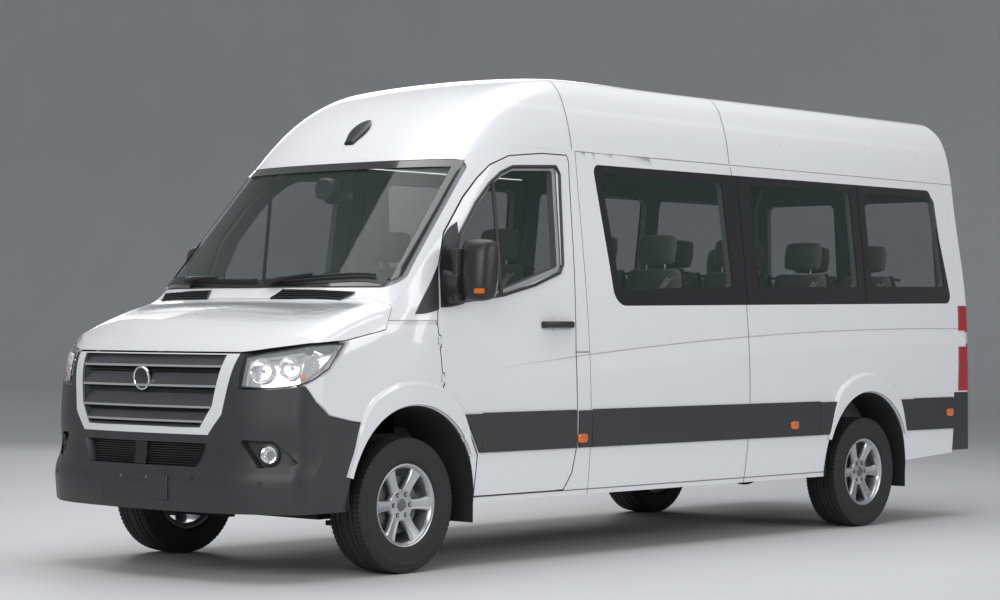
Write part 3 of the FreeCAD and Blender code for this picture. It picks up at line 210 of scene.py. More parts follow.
# Colours as they are written, before the light
WHITE = (0.80, 0.81, 0.83)
WHITE_SHADE = (0.775, 0.785, 0.81)
GAP = (0.03, 0.03, 0.035)
TRIM_GREY = (0.16, 0.17, 0.175)
CHARCOAL = (0.028, 0.0285, 0.032)
BLACK = (0.012, 0.012, 0.014)
GLASS_TINT = (0.045, 0.075, 0.07)


# The paint's seams and creases: the core line that outer faces point away from, and the seams' places
BODY_CORE = (-5.0, -0.6)
CORE_HEIGHT = 1.35
ROOF_EDGE = 2.296
FIRST_ROOF_SEAM = 1.452
SECOND_SEAM = -3.022
SECOND_ROOF_SEAM = 2.962
SILL_SEAM = 0.374
PILLAR_SEAM = 1.148
SEAM_WIDTH = 0.007
SEAM_DEPTH = 0.002
SWAGE_DEPTH = 0.008
SWAGE_EDGE = 0.009
SWAGE_FADE = 0.13


def swage(x, z):
    """Height of the pressed crease along the side, in metres: a sharp step that fades out below."""
    back = -1 * x
    line = 0.993 + back * 0.1143 - back * back * 0.01073
    below = line - z
    depth = back.rise(0.45, 1.7) * SWAGE_DEPTH
    return depth * (below.rise(SWAGE_EDGE, SWAGE_FADE) - below.rise(0, SWAGE_EDGE))


def body_paint():
    """White paint under clear lacquer; the same sheet is trim grey on its inner side."""
    paint = Finish("body_paint", WHITE, 0.3, Coat_Weight=1.0, Coat_Roughness=0.04, Coat_IOR=1.5)
    x, y, z = paint.place()
    nx, ny, nz = paint.facing()
    cx = x - x.highest(BODY_CORE[0]).lowest(BODY_CORE[1])
    cz = z - z.lowest(CORE_HEIGHT)
    outward = cx * nx + y * ny + cz * nz
    length = (cx * cx + y * y + cz * cz).math("SQRT")
    outside = (outward / length).rise(0.3, 0.42)

    left = y.rise(0.3, 0.4)
    second = x - (SECOND_SEAM + (z - 1.25) * (z - 1.25) * 0.045)
    seams = second.band(0, SEAM_WIDTH) * left * z.rise(2.28, 2.27)
    seams = seams.highest(z.band(PILLAR_SEAM, SEAM_WIDTH) * x.band(-1.42, 0.116, 0.02) * left)
    seams = seams.highest(z.band(SILL_SEAM, 0.006) * x.rise(-0.46, -0.48) * x.rise(-3.9, -3.88))
    roof = z.rise(ROOF_EDGE, 2.3)
    seams = seams.highest((x + FIRST_ROOF_SEAM - (z - 2.3) * 0.06).band(0, SEAM_WIDTH) * roof)
    seams = seams.highest((x + SECOND_ROOF_SEAM).band(0, SEAM_WIDTH) * roof)

    height = swage(x, z) * abs(y).rise(0.85, 0.9) * z.rise(0.9, 1.0)
    height = height + (z.rise(2.505, 2.55) * -0.004) * roof * abs(y).rise(0.6, 0.7)
    height = height + paint.noise(900, 1) * 0.000008 + paint.noise(5, 1) * 0.0006

    grain = paint.noise(2.2, 3)
    white = paint.mix(grain * 0.5, WHITE, WHITE_SHADE)
    white = paint.mix(seams * 0.85, white, GAP)
    paint.vary("Base Color", paint.mix(outside, TRIM_GREY, white))
    paint.vary("Roughness", 0.62 - outside * 0.36 + grain * 0.04)
    paint.vary("Coat Weight", outside * (1 - seams))
    return paint.bump(height - seams * SEAM_DEPTH)


def moulded(name, colour, roughness=0.5, grain=260, depth=0.00006, **constants):
    """Grained moulded plastic."""
    plastic = Finish(name, colour, roughness, **constants)
    cells = plastic.noise(grain, 3, 0.6)
    worn = plastic.noise(4, 3)
    lighter = tuple(min(1, c * 1.35 + 0.004) for c in colour)
    plastic.vary("Base Color", plastic.mix(worn * 0.6 + cells * 0.3, colour, lighter))
    plastic.vary("Roughness", roughness - 0.06 + worn * 0.12)
    return plastic.bump(cells * depth)


def rubber():
    """Tyre rubber, greyer in patches, with a fine grain in its surface."""
    tyre = Finish("tyre_rubber", (0.018, 0.018, 0.019), 0.72)
    dust = tyre.noise(14, 4)
    tyre.vary("Base Color", tyre.mix(dust * 0.7, (0.013, 0.013, 0.014), (0.032, 0.031, 0.03)))
    tyre.vary("Roughness", 0.62 + dust * 0.2)
    return tyre.bump(tyre.noise(420, 2) * 0.00008)


def cast_alloy(name="silver_alloy", colour=(0.55, 0.56, 0.58), roughness=0.3):
    """Painted silver alloy with a lacquered face."""
    alloy = Finish(name, colour, roughness, Metallic=0.85, Coat_Weight=0.5, Coat_Roughness=0.08)
    flake = alloy.noise(700, 1)
    cloud = alloy.noise(9, 2)
    darker = tuple(c * 0.82 for c in colour)
    alloy.vary("Base Color", alloy.mix(flake * 0.35 + cloud * 0.3, colour, darker))
    alloy.vary("Roughness", roughness - 0.05 + cloud * 0.1)
    return alloy.bump(flake * 0.00002)


def bright(name, colour, roughness):
    """Bright plated trim."""
    plated = Finish(name, colour, roughness, Metallic=1.0)
    haze = plated.noise(30, 2)
    plated.vary("Roughness", roughness - 0.03 + haze * 0.08)
    return plated


def openings_mask(finish, windows, inset, radius):
    """1 where a point lies in one of the rounded windows, each given by its corners from the side."""
    x, y, z = finish.place()
    inside = None
    for corners in windows:
        worst = None
        for (ax, az), (bx, bz) in zip(corners, corners[1:] + corners[:1]):
            length = math.hypot(bx - ax, bz - az)
            out_x, out_z = -(bz - az) / length, (bx - ax) / length
            edge = x * out_x + z * out_z + (inset - ax * out_x - az * out_z)
            if worst is None:
                worst = edge
            else:
                settings = {"operation": "SMOOTH_MAX"}
                worst = finish.node("ShaderNodeMath", settings, {0: worst, 1: edge, 2: radius})
        clear = worst.rise(0.002, -0.002)
        inside = clear if inside is None else inside.highest(clear)
    return inside


def tinted(name, clear_alpha, windows=None):
    """Tinted glass; outside its clear windows it is backed by a black ceramic border."""
    glass = Finish(name, GLASS_TINT, 0.03, Coat_Weight=1.0, Coat_Roughness=0.02, IOR=1.45)
    smear = glass.noise(3, 2)
    glass.vary("Roughness", 0.02 + smear * 0.03)
    if windows is None:
        glass.vary("Alpha", clear_alpha - 0.03 + smear * 0.06)
        return glass
    clear = openings_mask(glass, windows, 0.01, 0.06)
    glass.vary("Alpha", 1 - clear * (1 - clear_alpha))
    glass.vary("Base Color", glass.mix(clear, BLACK, GLASS_TINT))
    return glass


def lens_glass(name, colour, alpha, roughness=0.04, lines=0):
    """A lamp's clear cover, with fine moulded ribs if wanted."""
    lens = Finish(name, colour, roughness, Coat_Weight=1.0, Coat_Roughness=0.02, IOR=1.49)
    haze = lens.noise(40, 2)
    lens.vary("Alpha", alpha - 0.02 + haze * 0.04)
    if lines:
        x, y, z = lens.place()
        lens.bump((z * lines).math("SINE") * 0.0006)
    return lens


def woven(name, colour, pale):
    """Seat cloth: crossing threads with a little variation."""
    cloth = Finish(name, colour, 0.9, Sheen_Weight=0.35, Sheen_Roughness=0.5)
    x, y, z = cloth.place()
    threads = ((y * THREADS).math("SINE") * ((x + z) * THREADS).math("SINE")) * 0.5 + 0.5
    blotch = cloth.noise(12, 3)
    cloth.vary("Base Color", cloth.mix(threads * 0.5 + blotch * 0.5, colour, pale))
    return cloth.bump(threads * 0.0003 + cloth.noise(180, 2) * 0.0003)


def dark_metal(name, colour, roughness=0.55, metallic=0.5):
    """Painted or bare metal of the underbody with a dusty film."""
    metal = Finish(name, colour, roughness, Metallic=metallic)
    dust = metal.noise(8, 4)
    paler = tuple(min(1, c * 1.8 + 0.01) for c in colour)
    metal.vary("Base Color", metal.mix(dust, colour, paler))
    metal.vary("Roughness", roughness - 0.1 + dust * 0.3)
    return metal.bump(metal.noise(160, 2) * 0.0002)


LENS_RIBS = 420
THREADS = 1500


def tail_lens():
    """The tail lamps: red with a pale band, moulded in fine ribs."""
    lens = Finish("tail_lens", (0.45, 0.01, 0.012), 0.08, Coat_Weight=1.0, Coat_Roughness=0.03)
    x, y, z = lens.place()
    pale = z.rise(1.185, 1.19) * z.rise(1.275, 1.27)
    seam = z.band(1.187, 0.006).highest(z.band(1.272, 0.006)).highest(z.band(1.03, 0.005))
    ribs = (z * LENS_RIBS).math("SINE")
    cells = (ribs * 0.5 + 0.5) * 0.35
    red = lens.mix(cells, (0.42, 0.008, 0.01), (0.2, 0.002, 0.003))
    shade = lens.mix(pale, red, (0.62, 0.5, 0.48))
    lens.vary("Base Color", lens.mix(seam, shade, GAP))
    return lens.bump(ribs * 0.0006 - seam * SEAM_DEPTH)


def floor_vinyl():
    """Speckled floor covering."""
    vinyl = Finish("speckled_vinyl", (0.09, 0.095, 0.1), 0.7)
    speck = vinyl.noise(240, 1).rise(0.55, 0.62)
    vinyl.vary("Base Color", vinyl.mix(speck, (0.075, 0.08, 0.085), (0.2, 0.21, 0.22)))
    return vinyl.bump(vinyl.noise(120, 2) * 0.0003)


SIDE_WINDOWS = [
    [(-1.690, 2.180), (-1.780, 1.500), (-2.905, 1.528), (-2.880, 2.185)],
    [(-3.142, 2.188), (-3.142, 1.535), (-4.292, 1.552), (-4.292, 2.192)],
    [(-4.440, 2.194), (-4.440, 1.556), (-5.372, 1.570), (-5.318, 2.196)],
]

PAINT = body_paint()
BUMPER = moulded("bumper_plastic", CHARCOAL, 0.42)
TRIM = moulded("trim_plastic", (0.016, 0.016, 0.018), 0.38, 200)
GLOSS = moulded("gloss_black", (0.008, 0.008, 0.009), 0.12, 20, 0.00001, Coat_Weight=1.0, Coat_Roughness=0.03)
RUBBER = rubber()
ALLOY = cast_alloy()
BRIGHT = bright("bright_trim", (0.88, 0.89, 0.9), 0.2)
MIRROR = bright("mirror_glass", (0.7, 0.72, 0.74), 0.04)
REFLECTOR = bright("lamp_reflector", (0.9, 0.9, 0.92), 0.1)
SIDE_GLASS = tinted("side_glass_tint", 0.2, SIDE_WINDOWS)
CLEAR_GLASS = tinted("cab_glass_tint", 0.2)
CABIN = moulded("cabin_plastic", (0.13, 0.135, 0.14), 0.6, 180)
CABIN_DARK = moulded("cabin_dark_plastic", (0.04, 0.042, 0.045), 0.55, 180)
PALE_TRIM = moulded("pale_belt", (0.36, 0.39, 0.38), 0.75, 300)
CLOTH = woven("seat_cloth", (0.075, 0.08, 0.083), (0.13, 0.137, 0.14))
LINER = moulded("arch_liner_felt", (0.014, 0.014, 0.015), 0.9, 90, 0.0006)
CHASSIS = dark_metal("chassis_coating", (0.02, 0.02, 0.022))
CASTING = dark_metal("cast_metal", (0.12, 0.12, 0.125), 0.5, 0.8)
PIPE = dark_metal("exhaust_steel", (0.25, 0.23, 0.21), 0.4, 0.9)
TAIL = tail_lens()
AMBER = lens_glass("amber_lens", (0.75, 0.16, 0.01), 0.97, 0.1, 900)
CLEAR = lens_glass("clear_cover", (0.85, 0.88, 0.9), 0.16)
VINYL = floor_vinyl()
# Near-black painted shade, laid where bolt holes, vent openings and the grilles' depths lie in shadow
SHADOW = moulded("painted_shade_black", (0.004, 0.004, 0.005), 0.8)
LOUVRE = moulded("grille_plastic", (0.05, 0.053, 0.062), 0.36, 120)
FLARE = Finish("flare_paint", WHITE, 0.3, Coat_Weight=1.0, Coat_Roughness=0.04)
FLARE.vary("Base Color", FLARE.mix(FLARE.noise(2.2, 3) * 0.5, WHITE, WHITE_SHADE))
PLATE = moulded("plate_holder", (0.03, 0.031, 0.036), 0.3, 60)
BRUSHED = cast_alloy("brushed_metal", (0.42, 0.43, 0.45), 0.35)


# Shapes: a list of points and a list of faces over them


def joined(shapes):
    """Several shapes as one."""
    points, faces = [], []
    for more_points, more_faces in shapes:
        start = len(points)
        points += more_points
        faces += [[start + i for i in face] for face in more_faces]
    return points, faces


def placed(shape, matrix):
    """A shape moved by a matrix."""
    return [matrix @ Vector(p) for p in shape[0]], shape[1]


def sided(shape, side):
    """A shape drawn for the left, or its mirror image on the right."""
    if side == LEFT:
        return shape
    return [Vector((p[0], -p[1], p[2])) for p in shape[0]], [face[::-1] for face in shape[1]]


def grid(rows, around=False, along=False):
    """Faces over rows of points; around closes each row, along closes the last row to the first."""
    count = len(rows[0])
    points = [Vector(p) for row in rows for p in row]
    faces = []
    for i in range(len(rows) if along else len(rows) - 1):
        j = (i + 1) % len(rows)
        for a in range(count if around else count - 1):
            b = (a + 1) % count
            faces.append([i * count + a, i * count + b, j * count + b, j * count + a])
    return points, faces


def loft(rings):
    """A closed skin through rings of points, with its ends capped."""
    points, faces = grid(rings, around=True)
    count = len(rings[0])
    faces.append(list(range(count))[::-1])
    faces.append([len(points) - count + i for i in range(count)])
    return points, faces


def turned(profile, steps, displace=None, closed=False):
    """A profile of across and radius turned about the y axis; closed joins its ends, displace lowers it."""
    rows = []
    for step in range(steps):
        angle = 2 * math.pi * step / steps
        row = []
        for across, radius in profile:
            if displace:
                radius -= displace(across, radius, step)
            row.append(Vector((radius * math.sin(angle), across, radius * math.cos(angle))))
        rows.append(row)
    return grid(rows, around=closed, along=True)


def oval(width, depth, power, count=28):
    """A rounded rectangle about the origin: power 2 is an ellipse and more is squarer."""
    ring = []
    for step in range(count):
        angle = 2 * math.pi * step / count
        c, s = math.cos(angle), math.sin(angle)
        ring.append((math.copysign(abs(c) ** (2 / power), c) * width / 2,
                     math.copysign(abs(s) ** (2 / power), s) * depth / 2))
    return ring


def tube(path, radius, sides=10):
    """A round bar along a path; radius may be one number or one for each point."""
    rings = []
    path = [Vector(p) for p in path]
    for index, point in enumerate(path):
        ahead = path[min(index + 1, len(path) - 1)] - path[max(index - 1, 0)]
        ahead.normalize()
        level = ahead.cross(Vector((0, 0, 1)) if abs(ahead.z) < 0.9 else Vector((1, 0, 0))).normalized()
        up = ahead.cross(level)
        size = radius[index] if isinstance(radius, (list, tuple)) else radius
        rings.append([point + (level * math.cos(a) + up * math.sin(a)) * size
                      for a in (2 * math.pi * k / sides for k in range(sides))])
    return loft(rings)


def slab(rows, thick):
    """A plate of one thickness under a grid of (point, normal) pairs."""
    top = [[p for p, n in row] for row in rows]
    under = [[p - n * thick for p, n in row] for row in rows]
    width, height = len(rows[0]), len(rows)
    points, faces = grid(top)
    below, under_faces = grid(under)
    start = len(points)
    faces = faces + [[start + i for i in face[::-1]] for face in under_faces]
    edge = list(range(width))
    edge += [width * (j + 1) - 1 for j in range(1, height)]
    edge += [width * (height - 1) + i for i in range(width - 2, -1, -1)]
    edge += [width * j for j in range(height - 2, 0, -1)]
    for a, b in zip(edge, edge[1:] + edge[:1]):
        faces.append([b, a, start + a, start + b])
    return points + below, faces


SHARP_ANGLE = math.radians(40)
BEVEL_ANGLE = math.radians(38)


def flush(rows, thick, side):
    """A plate whose rows were drawn forwards and upwards on one side of the vehicle."""
    return slab(rows[::-1] if side == LEFT else rows, thick)


def piece(name, shape, finish, body="root", slot="dark_plastic", nodes=(), bevel=0, levels=0):
    """A named mesh object with its finish, riding on a body."""
    mesh = bpy.data.meshes.new(name)
    mesh.from_pydata([tuple(p) for p in shape[0]], [], shape[1])
    mesh.validate()
    mesh.update()
    thing = bpy.data.objects.new(name, mesh)
    bpy.context.scene.collection.objects.link(thing)
    mesh.materials.append(finish.material)
    mesh.polygons.foreach_set("use_smooth", [True] * len(mesh.polygons))
    mesh.set_sharp_from_angle(angle=SHARP_ANGLE)
    if bevel:
        edge = thing.modifiers.new("edges", "BEVEL")
        edge.width = bevel
        edge.segments = 2
        edge.limit_method = "ANGLE"
        edge.angle_limit = BEVEL_ANGLE
        edge.use_clamp_overlap = True
    if levels:
        rounded = thing.modifiers.new("rounding", "SUBSURF")
        rounded.levels = rounded.render_levels = levels
    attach(thing, body)
    if nodes:
        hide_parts(*nodes)
    return thing


# The skin: where a ray from outside meets the body


def search_tree(names):
    """A search tree over the surfaces of several nodes."""
    points, faces = [], []
    for name in names:
        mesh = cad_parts[name].data
        start = len(points)
        points += [v.co.copy() for v in mesh.vertices]
        faces += [[start + i for i in p.vertices] for p in mesh.polygons]
    return BVHTree.FromPolygons(points, faces)


SKIN = search_tree([
    "side_left", "side_right", "sliding_door", "side_glass_left", "side_glass_right", "sliding_door_glass",
    "tail_lamps", "roof", "cab_frame", "windscreen", "fender_left", "fender_right", "bonnet", "front_bumper",
    "grille_surround", "headlamp_left", "headlamp_right", "door_left", "door_right", "door_glass_left",
    "door_glass_right", "rear_door_left", "rear_door_right", "rear_glass_left", "rear_glass_right",
    "rear_bumper",
])
JITTER = 0.009
OUTSIDE = {"side": 1.4, "top": 3.2, "front": 2.0, "rear": -7.0}


def hit(origin, direction, lift):
    """The outermost point that rays near one another meet, raised off the skin, with its normal."""
    best = None
    across = direction.orthogonal().normalized()
    up = direction.cross(across)
    for shift in (Vector(), across * JITTER, across * -JITTER, up * JITTER, up * -JITTER):
        point, normal, _, distance = SKIN.ray_cast(origin + shift, direction)
        if point is not None and (best is None or distance < best[0] - 0.004):
            best = (distance, normal)
    if best is None:
        raise ValueError(f"no skin under {tuple(origin)}")
    normal = best[1] if best[1].dot(direction) < 0 else -best[1]
    return origin + direction * best[0] + normal * lift, normal


def on_side(x, z, lift=0.0, side=LEFT):
    """The skin's point and normal as seen from the side."""
    return hit(at(x, OUTSIDE["side"] * side, z), Vector((0, -side, 0)), lift)


def on_top(x, y, lift=0.0):
    """The skin's point and normal as seen from above."""
    return hit(at(x, y, OUTSIDE["top"]), Vector((0, 0, -1)), lift)


def on_front(y, z, lift=0.0):
    """The skin's point and normal as seen from ahead."""
    return hit(at(OUTSIDE["front"], y, z), Vector((-1, 0, 0)), lift)


def on_rear(y, z, lift=0.0):
    """The skin's point and normal as seen from behind."""
    return hit(at(OUTSIDE["rear"], y, z), Vector((1, 0, 0)), lift)


def between(first, second, share):
    """A point part of the way from one to another."""
    return tuple(a + (b - a) * share for a, b in zip(first, second))


def draped(first, second, project, across=4, lift=0.001):
    """Rows of skin points between two lines that have as many points each."""
    rows = []
    for step in range(across + 1):
        share = step / across
        rows.append([project(*between(a, b, share), lift) for a, b in zip(first, second)])
    return rows


def divided(points, longest):
    """A line with its long runs divided."""
    result = [points[0]]
    for a, b in zip(points, points[1:]):
        parts = max(1, math.ceil(math.dist(a, b) / longest))
        result += [between(a, b, k / parts) for k in range(1, parts + 1)]
    return result


# The construction's own pieces with their finishes


def dress():
    """Give every node of the construction its finish."""
    finishes = {
        PAINT: ["side_left", "side_right", "sliding_door", "roof", "cab_frame", "fender_left", "fender_right",
                "bonnet", "door_left", "door_right", "rear_door_left", "rear_door_right", "grille_surround"],
        BUMPER: ["front_bumper", "rear_bumper", "rub_strips", "door_trim_left", "door_trim_right"],
        SIDE_GLASS: ["side_glass_left", "side_glass_right", "sliding_door_glass"],
        CLEAR_GLASS: ["windscreen", "door_glass_left", "door_glass_right", "rear_glass_left",
                      "rear_glass_right"],
        TRIM: ["grille", "mirror_left", "mirror_right"],
        TAIL: ["tail_lamps"],
        LINER: ["arch_liners"],
        VINYL: ["floor"],
        CHASSIS: ["underframe", "front_suspension", "fuel_tank", "seat_bases"],
        CASTING: ["engine", "knuckle_left", "knuckle_right", "track_rod", "rear_axle", "leaf_springs"],
        PIPE: ["exhaust"],
        CABIN: ["dashboard"],
        CABIN_DARK: ["steering_wheel"],
        CLOTH: ["front_seats", "saloon_seats"],
        CLEAR: ["headlamp_left", "headlamp_right"],
    }
    for finish, nodes in finishes.items():
        for node in nodes:
            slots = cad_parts[node].data.materials
            slots.clear()
            slots.append(finish.material)
    for end in ("front", "rear"):
        for label in SIDES:
            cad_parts[f"tyre_{end}_{label}"].data.materials[0] = RUBBER.material
            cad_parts[f"rim_{end}_{label}"].data.materials[0] = ALLOY.material


# Wheels


# The tyre as it was drawn, and the grooves of its tread
DRAWN_HALF, DRAWN_RADIUS = 0.1175, 0.356
SHOULDER = 0.106
SHOULDER_DROP = 0.0045
GROOVE_DEPTH = 0.008
INNER_GROOVE = (0.0245, 0.0315)
OUTER_GROOVE = (0.0585, 0.0655)
BLOCKS, STEPS = 84, 5


def half_profile():
    """The tyre's outer half from the tread's middle to the bead, as across and radius."""
    points = []
    for place in (0, 0.0235, 0.0245, 0.0315, 0.0325, 0.0575, 0.0585, 0.0655, 0.0665, 0.084, 0.098, SHOULDER):
        lowered = GROOVE_DEPTH if place in INNER_GROOVE + OUTER_GROOVE else 0
        points.append((place, TYRE_RADIUS - SHOULDER_DROP * (place / SHOULDER) ** 3 - lowered))
    wall = [(0.1115, 0.339), (0.1140, 0.327), (0.1152, 0.312), (0.1172, 0.309), (0.1172, 0.304),
            (0.1160, 0.301), (0.1174, 0.284), (0.1172, 0.264), (0.1155, 0.246), (0.1165, 0.243),
            (0.1158, 0.239), (0.1125, 0.231), (0.1080, 0.224), (0.0975, 0.2165), (0.0962, 0.2045)]
    half = TYRE_WIDTH / 2
    return points + [(across * half / DRAWN_HALF, radius * TYRE_RADIUS / DRAWN_RADIUS)
                     for across, radius in wall]


def tread_cut(across, radius, step):
    """How deep the cross grooves and the ribs' sipes lie below the tread."""
    place = abs(across)
    if radius < TYRE_RADIUS - 0.022 or place > 0.1125:
        return 0
    if place > 0.0665:
        return 0.006 if (step + round((place - 0.0665) * 30)) % STEPS == 0 else 0
    if 0.0325 < place < 0.0575:
        return 0.004 if (step + 2) % STEPS == 0 else 0
    return 0.0025 if (step + 1) % (2 * STEPS) == 0 and place < 0.0235 else 0


def full_profile():
    """The tyre's whole outline from bead to bead."""
    half = half_profile()
    return half[::-1] + [(-across, radius) for across, radius in half[1:]]


SPOKE_ANGLES = [math.pi / 6 + math.pi / 3 * k for k in range(6)]
BOLT_CIRCLE = 0.060


def spoke(angle):
    """One broad spoke with chamfered edges, from the hub to the rim."""
    rings = []
    for radius, width, deep in ((0.050, 0.030, 0.022), (0.078, 0.0335, 0.026), (0.105, 0.0300, 0.026),
                                (0.135, 0.0315, 0.024), (0.165, 0.0345, 0.022), (0.186, 0.0390, 0.020),
                                (0.197, 0.0440, 0.018)):
        face = 0.072 + 0.021 * max(0, (radius - 0.06) / 0.137) ** 1.4
        section = [(-width, face - deep), (-width, face - 0.011), (-width * 0.76, face),
                   (-width * 0.3, face - 0.0022), (width * 0.3, face - 0.0022), (width * 0.76, face),
                   (width, face - 0.011), (width, face - deep)]
        s, c = math.sin(angle), math.cos(angle)
        rings.append([Vector((radius * s + across * c, out, radius * c - across * s))
                      for across, out in section])
    return loft(rings)


def cylinder(radius, start, end, centre=(0, 0), sides=24):
    """A short round bar along y about a centre in x and z."""
    rings = []
    for y in (start, end):
        rings.append([Vector((centre[0] + radius * math.cos(a), y, centre[1] + radius * math.sin(a)))
                      for a in (2 * math.pi * k / sides for k in range(sides))])
    return loft(rings)


def alloy_shape():
    """Rim, six spokes and hub of the alloy wheel."""
    rim = [(0.1000, 0.2030), (0.0995, 0.2172), (0.1045, 0.2180), (0.1062, 0.2155), (0.1050, 0.2095),
           (0.1000, 0.2040), (0.0960, 0.1990), (0.0780, 0.1940), (0.0500, 0.1880), (-0.0900, 0.1860),
           (-0.1020, 0.2000), (-0.1050, 0.2165), (-0.0990, 0.2165), (-0.0960, 0.2030), (-0.0850, 0.1930),
           (0.0500, 0.1950)]
    hub = [(0.0500, 0.0200), (0.0720, 0.0310), (0.0745, 0.0330), (0.0745, 0.0560), (0.0725, 0.0800),
           (0.0660, 0.0860), (0.0480, 0.0880)]
    shapes = [turned(rim, 96, closed=True), turned(hub, 60, closed=True)]
    return joined(shapes + [spoke(angle) for angle in SPOKE_ANGLES])


def hub_details():
    """Near-black discs of painted shade for the bolt holes, six nuts and the bare centre cap."""
    hole_shades, nuts = [], []
    for angle in SPOKE_ANGLES:
        place = (BOLT_CIRCLE * math.sin(angle), BOLT_CIRCLE * math.cos(angle))
        # A near-black disc round each nut paints the shade in its bolt hole
        hole_shades.append(cylinder(0.0125, 0.070, 0.0748, place))
        nuts.append(cylinder(0.0088, 0.070, 0.0800, place, 6))
    cap = turned([(0.0600, 0.0), (0.0795, 0.0001), (0.0790, 0.0150), (0.0775, 0.0235), (0.0745, 0.0290),
                  (0.0600, 0.0295)], 40)
    return joined(hole_shades), joined(nuts + [cap])


def wheels():
    """Treaded tyres, alloys and brake discs on each of the four wheels."""
    tyre = turned(full_profile(), BLOCKS * STEPS, tread_cut, closed=True)
    alloy = alloy_shape()
    hole_shades, nuts = hub_details()
    disc = turned([(0.030, 0.060), (0.034, 0.150), (0.010, 0.150), (0.006, 0.060)], 60, closed=True)
    for end in ("front", "rear"):
        for label, side in SIDES.items():
            where = Matrix.Translation(middle(f"rim_{end}_{label}"))
            body = f"wheel_{end}_{label}"
            name = f"{end}_{label}"
            # The bolt hole discs are painted shade in the near-black shade finish
            for part, shape, finish, slot, nodes in (
                    ("treaded_tyre", tyre, RUBBER, "tyre", [f"tyre_{name}"]),
                    ("spoked_alloy", alloy, ALLOY, "alloy", [f"rim_{name}"]),
                    ("bolt_hole_shade", hole_shades, SHADOW, "dark_plastic", []),
                    ("wheel_nuts", nuts, BRUSHED, "alloy", []),
                    ("brake_disc", disc, CASTING, "cast_metal", [])):
                bevel = 0.0015 if part == "spoked_alloy" else 0
                piece(f"{part}_{name}", placed(sided(shape, side), where), finish, body, slot, nodes, bevel)


# Nose: grille, lamps and bumper details

# The nose's outer face at the middle, as height and x; the grille's mouth, as height and half width
NOSE_FACE = [(0.440, 1.032), (0.530, 1.028), (0.600, 0.998), (0.760, 0.996), (0.900, 0.990), (1.040, 0.976),
             (1.125, 0.947)]
MOUTH = [(0.771, 0.436), (0.880, 0.508), (1.140, 0.556)]
NOSE_BOW, BOW_POWER = 0.455, 2.4
LOUVRES = ((1.086, 1.136), (0.985, 1.045), (0.879, 0.942), (0.806, 0.848), (0.777, 0.790))
BARS = (1.081, 0.980, 0.874, 0.801)
MESH_UP, MESH_ACROSS, MESH_WIRE = 0.011, 0.016, 0.0022
MESH_TOP = 1.138
MESH_LIFT, SHADE_SHEET_LIFT = -0.036, -0.044
BADGE_HEIGHT = 1.014


def stepped(table, value):
    """A value read between the rows of a short table."""
    for (low, first), (high, second) in zip(table, table[1:]):
        if value <= high:
            return first + (second - first) * max(0, value - low) / (high - low)
    return table[-1][1]


def on_nose(y, z, lift=0.0):
    """The nose's outer face carried across the grille's mouth."""
    bow = NOSE_BOW * (1 - (1 - min(abs(y), 0.999) ** BOW_POWER) ** (1 / BOW_POWER))
    slope = NOSE_BOW * abs(y) ** 1.4 / (1 - min(abs(y), 0.99) ** BOW_POWER) ** (1.4 / BOW_POWER)
    normal = Vector((1, math.copysign(slope, y), 0)).normalized()
    return at(stepped(NOSE_FACE, z) - bow, y, z) + normal * lift, normal


def across_nose(half, z, lift, count):
    """Evenly spread points of the nose's face from one half width to the other."""
    return [on_nose(-half + 2 * half * k / count, z, lift) for k in range(count + 1)]


def half_mouth(z):
    """Half the width that fits in the grille's mouth."""
    return stepped(MOUTH, z) - 0.004


def across_nose_bar(z, rise):
    """One edge of a bright bar, as wide as the mouth is at the bar's middle."""
    return across_nose(half_mouth(z), z + rise, 0.001, 40)


def louvre(low, high, out_low, out_high):
    """A blade across the mouth, its lower edge further out than its upper edge."""
    middle_half = (half_mouth(low) + half_mouth(high)) / 2
    rows = ((low, half_mouth(low), out_low),
            ((low + high) / 2, middle_half, (out_low + out_high) / 2 + 0.003),
            (high, half_mouth(high), out_high))
    return slab([across_nose(half, z, lift, 30) for z, half, lift in rows], 0.005)


def grille_wires():
    """The mesh behind the louvres: level wires, and upright ones that end at the mouth's lower edge."""
    wires = []
    for k in range(34):
        z = 0.776 + k * MESH_UP
        wires.append(tube([p for p, n in across_nose(half_mouth(z), z, MESH_LIFT, 16)], MESH_WIRE, 4))
    for k in range(-34, 35):
        y = k * MESH_ACROSS
        low = 0.774 if abs(y) < 0.432 else 0.774 + (abs(y) - 0.432) * 1.55
        if abs(y) > 0.51:
            low = 0.884 + (abs(y) - 0.508) * 5.4
        if low < MESH_TOP - 0.01:
            heights = (low, (low + MESH_TOP) / 2, MESH_TOP)
            wires.append(tube([on_nose(y, z, MESH_LIFT)[0] for z in heights], MESH_WIRE, 4))
    return wires


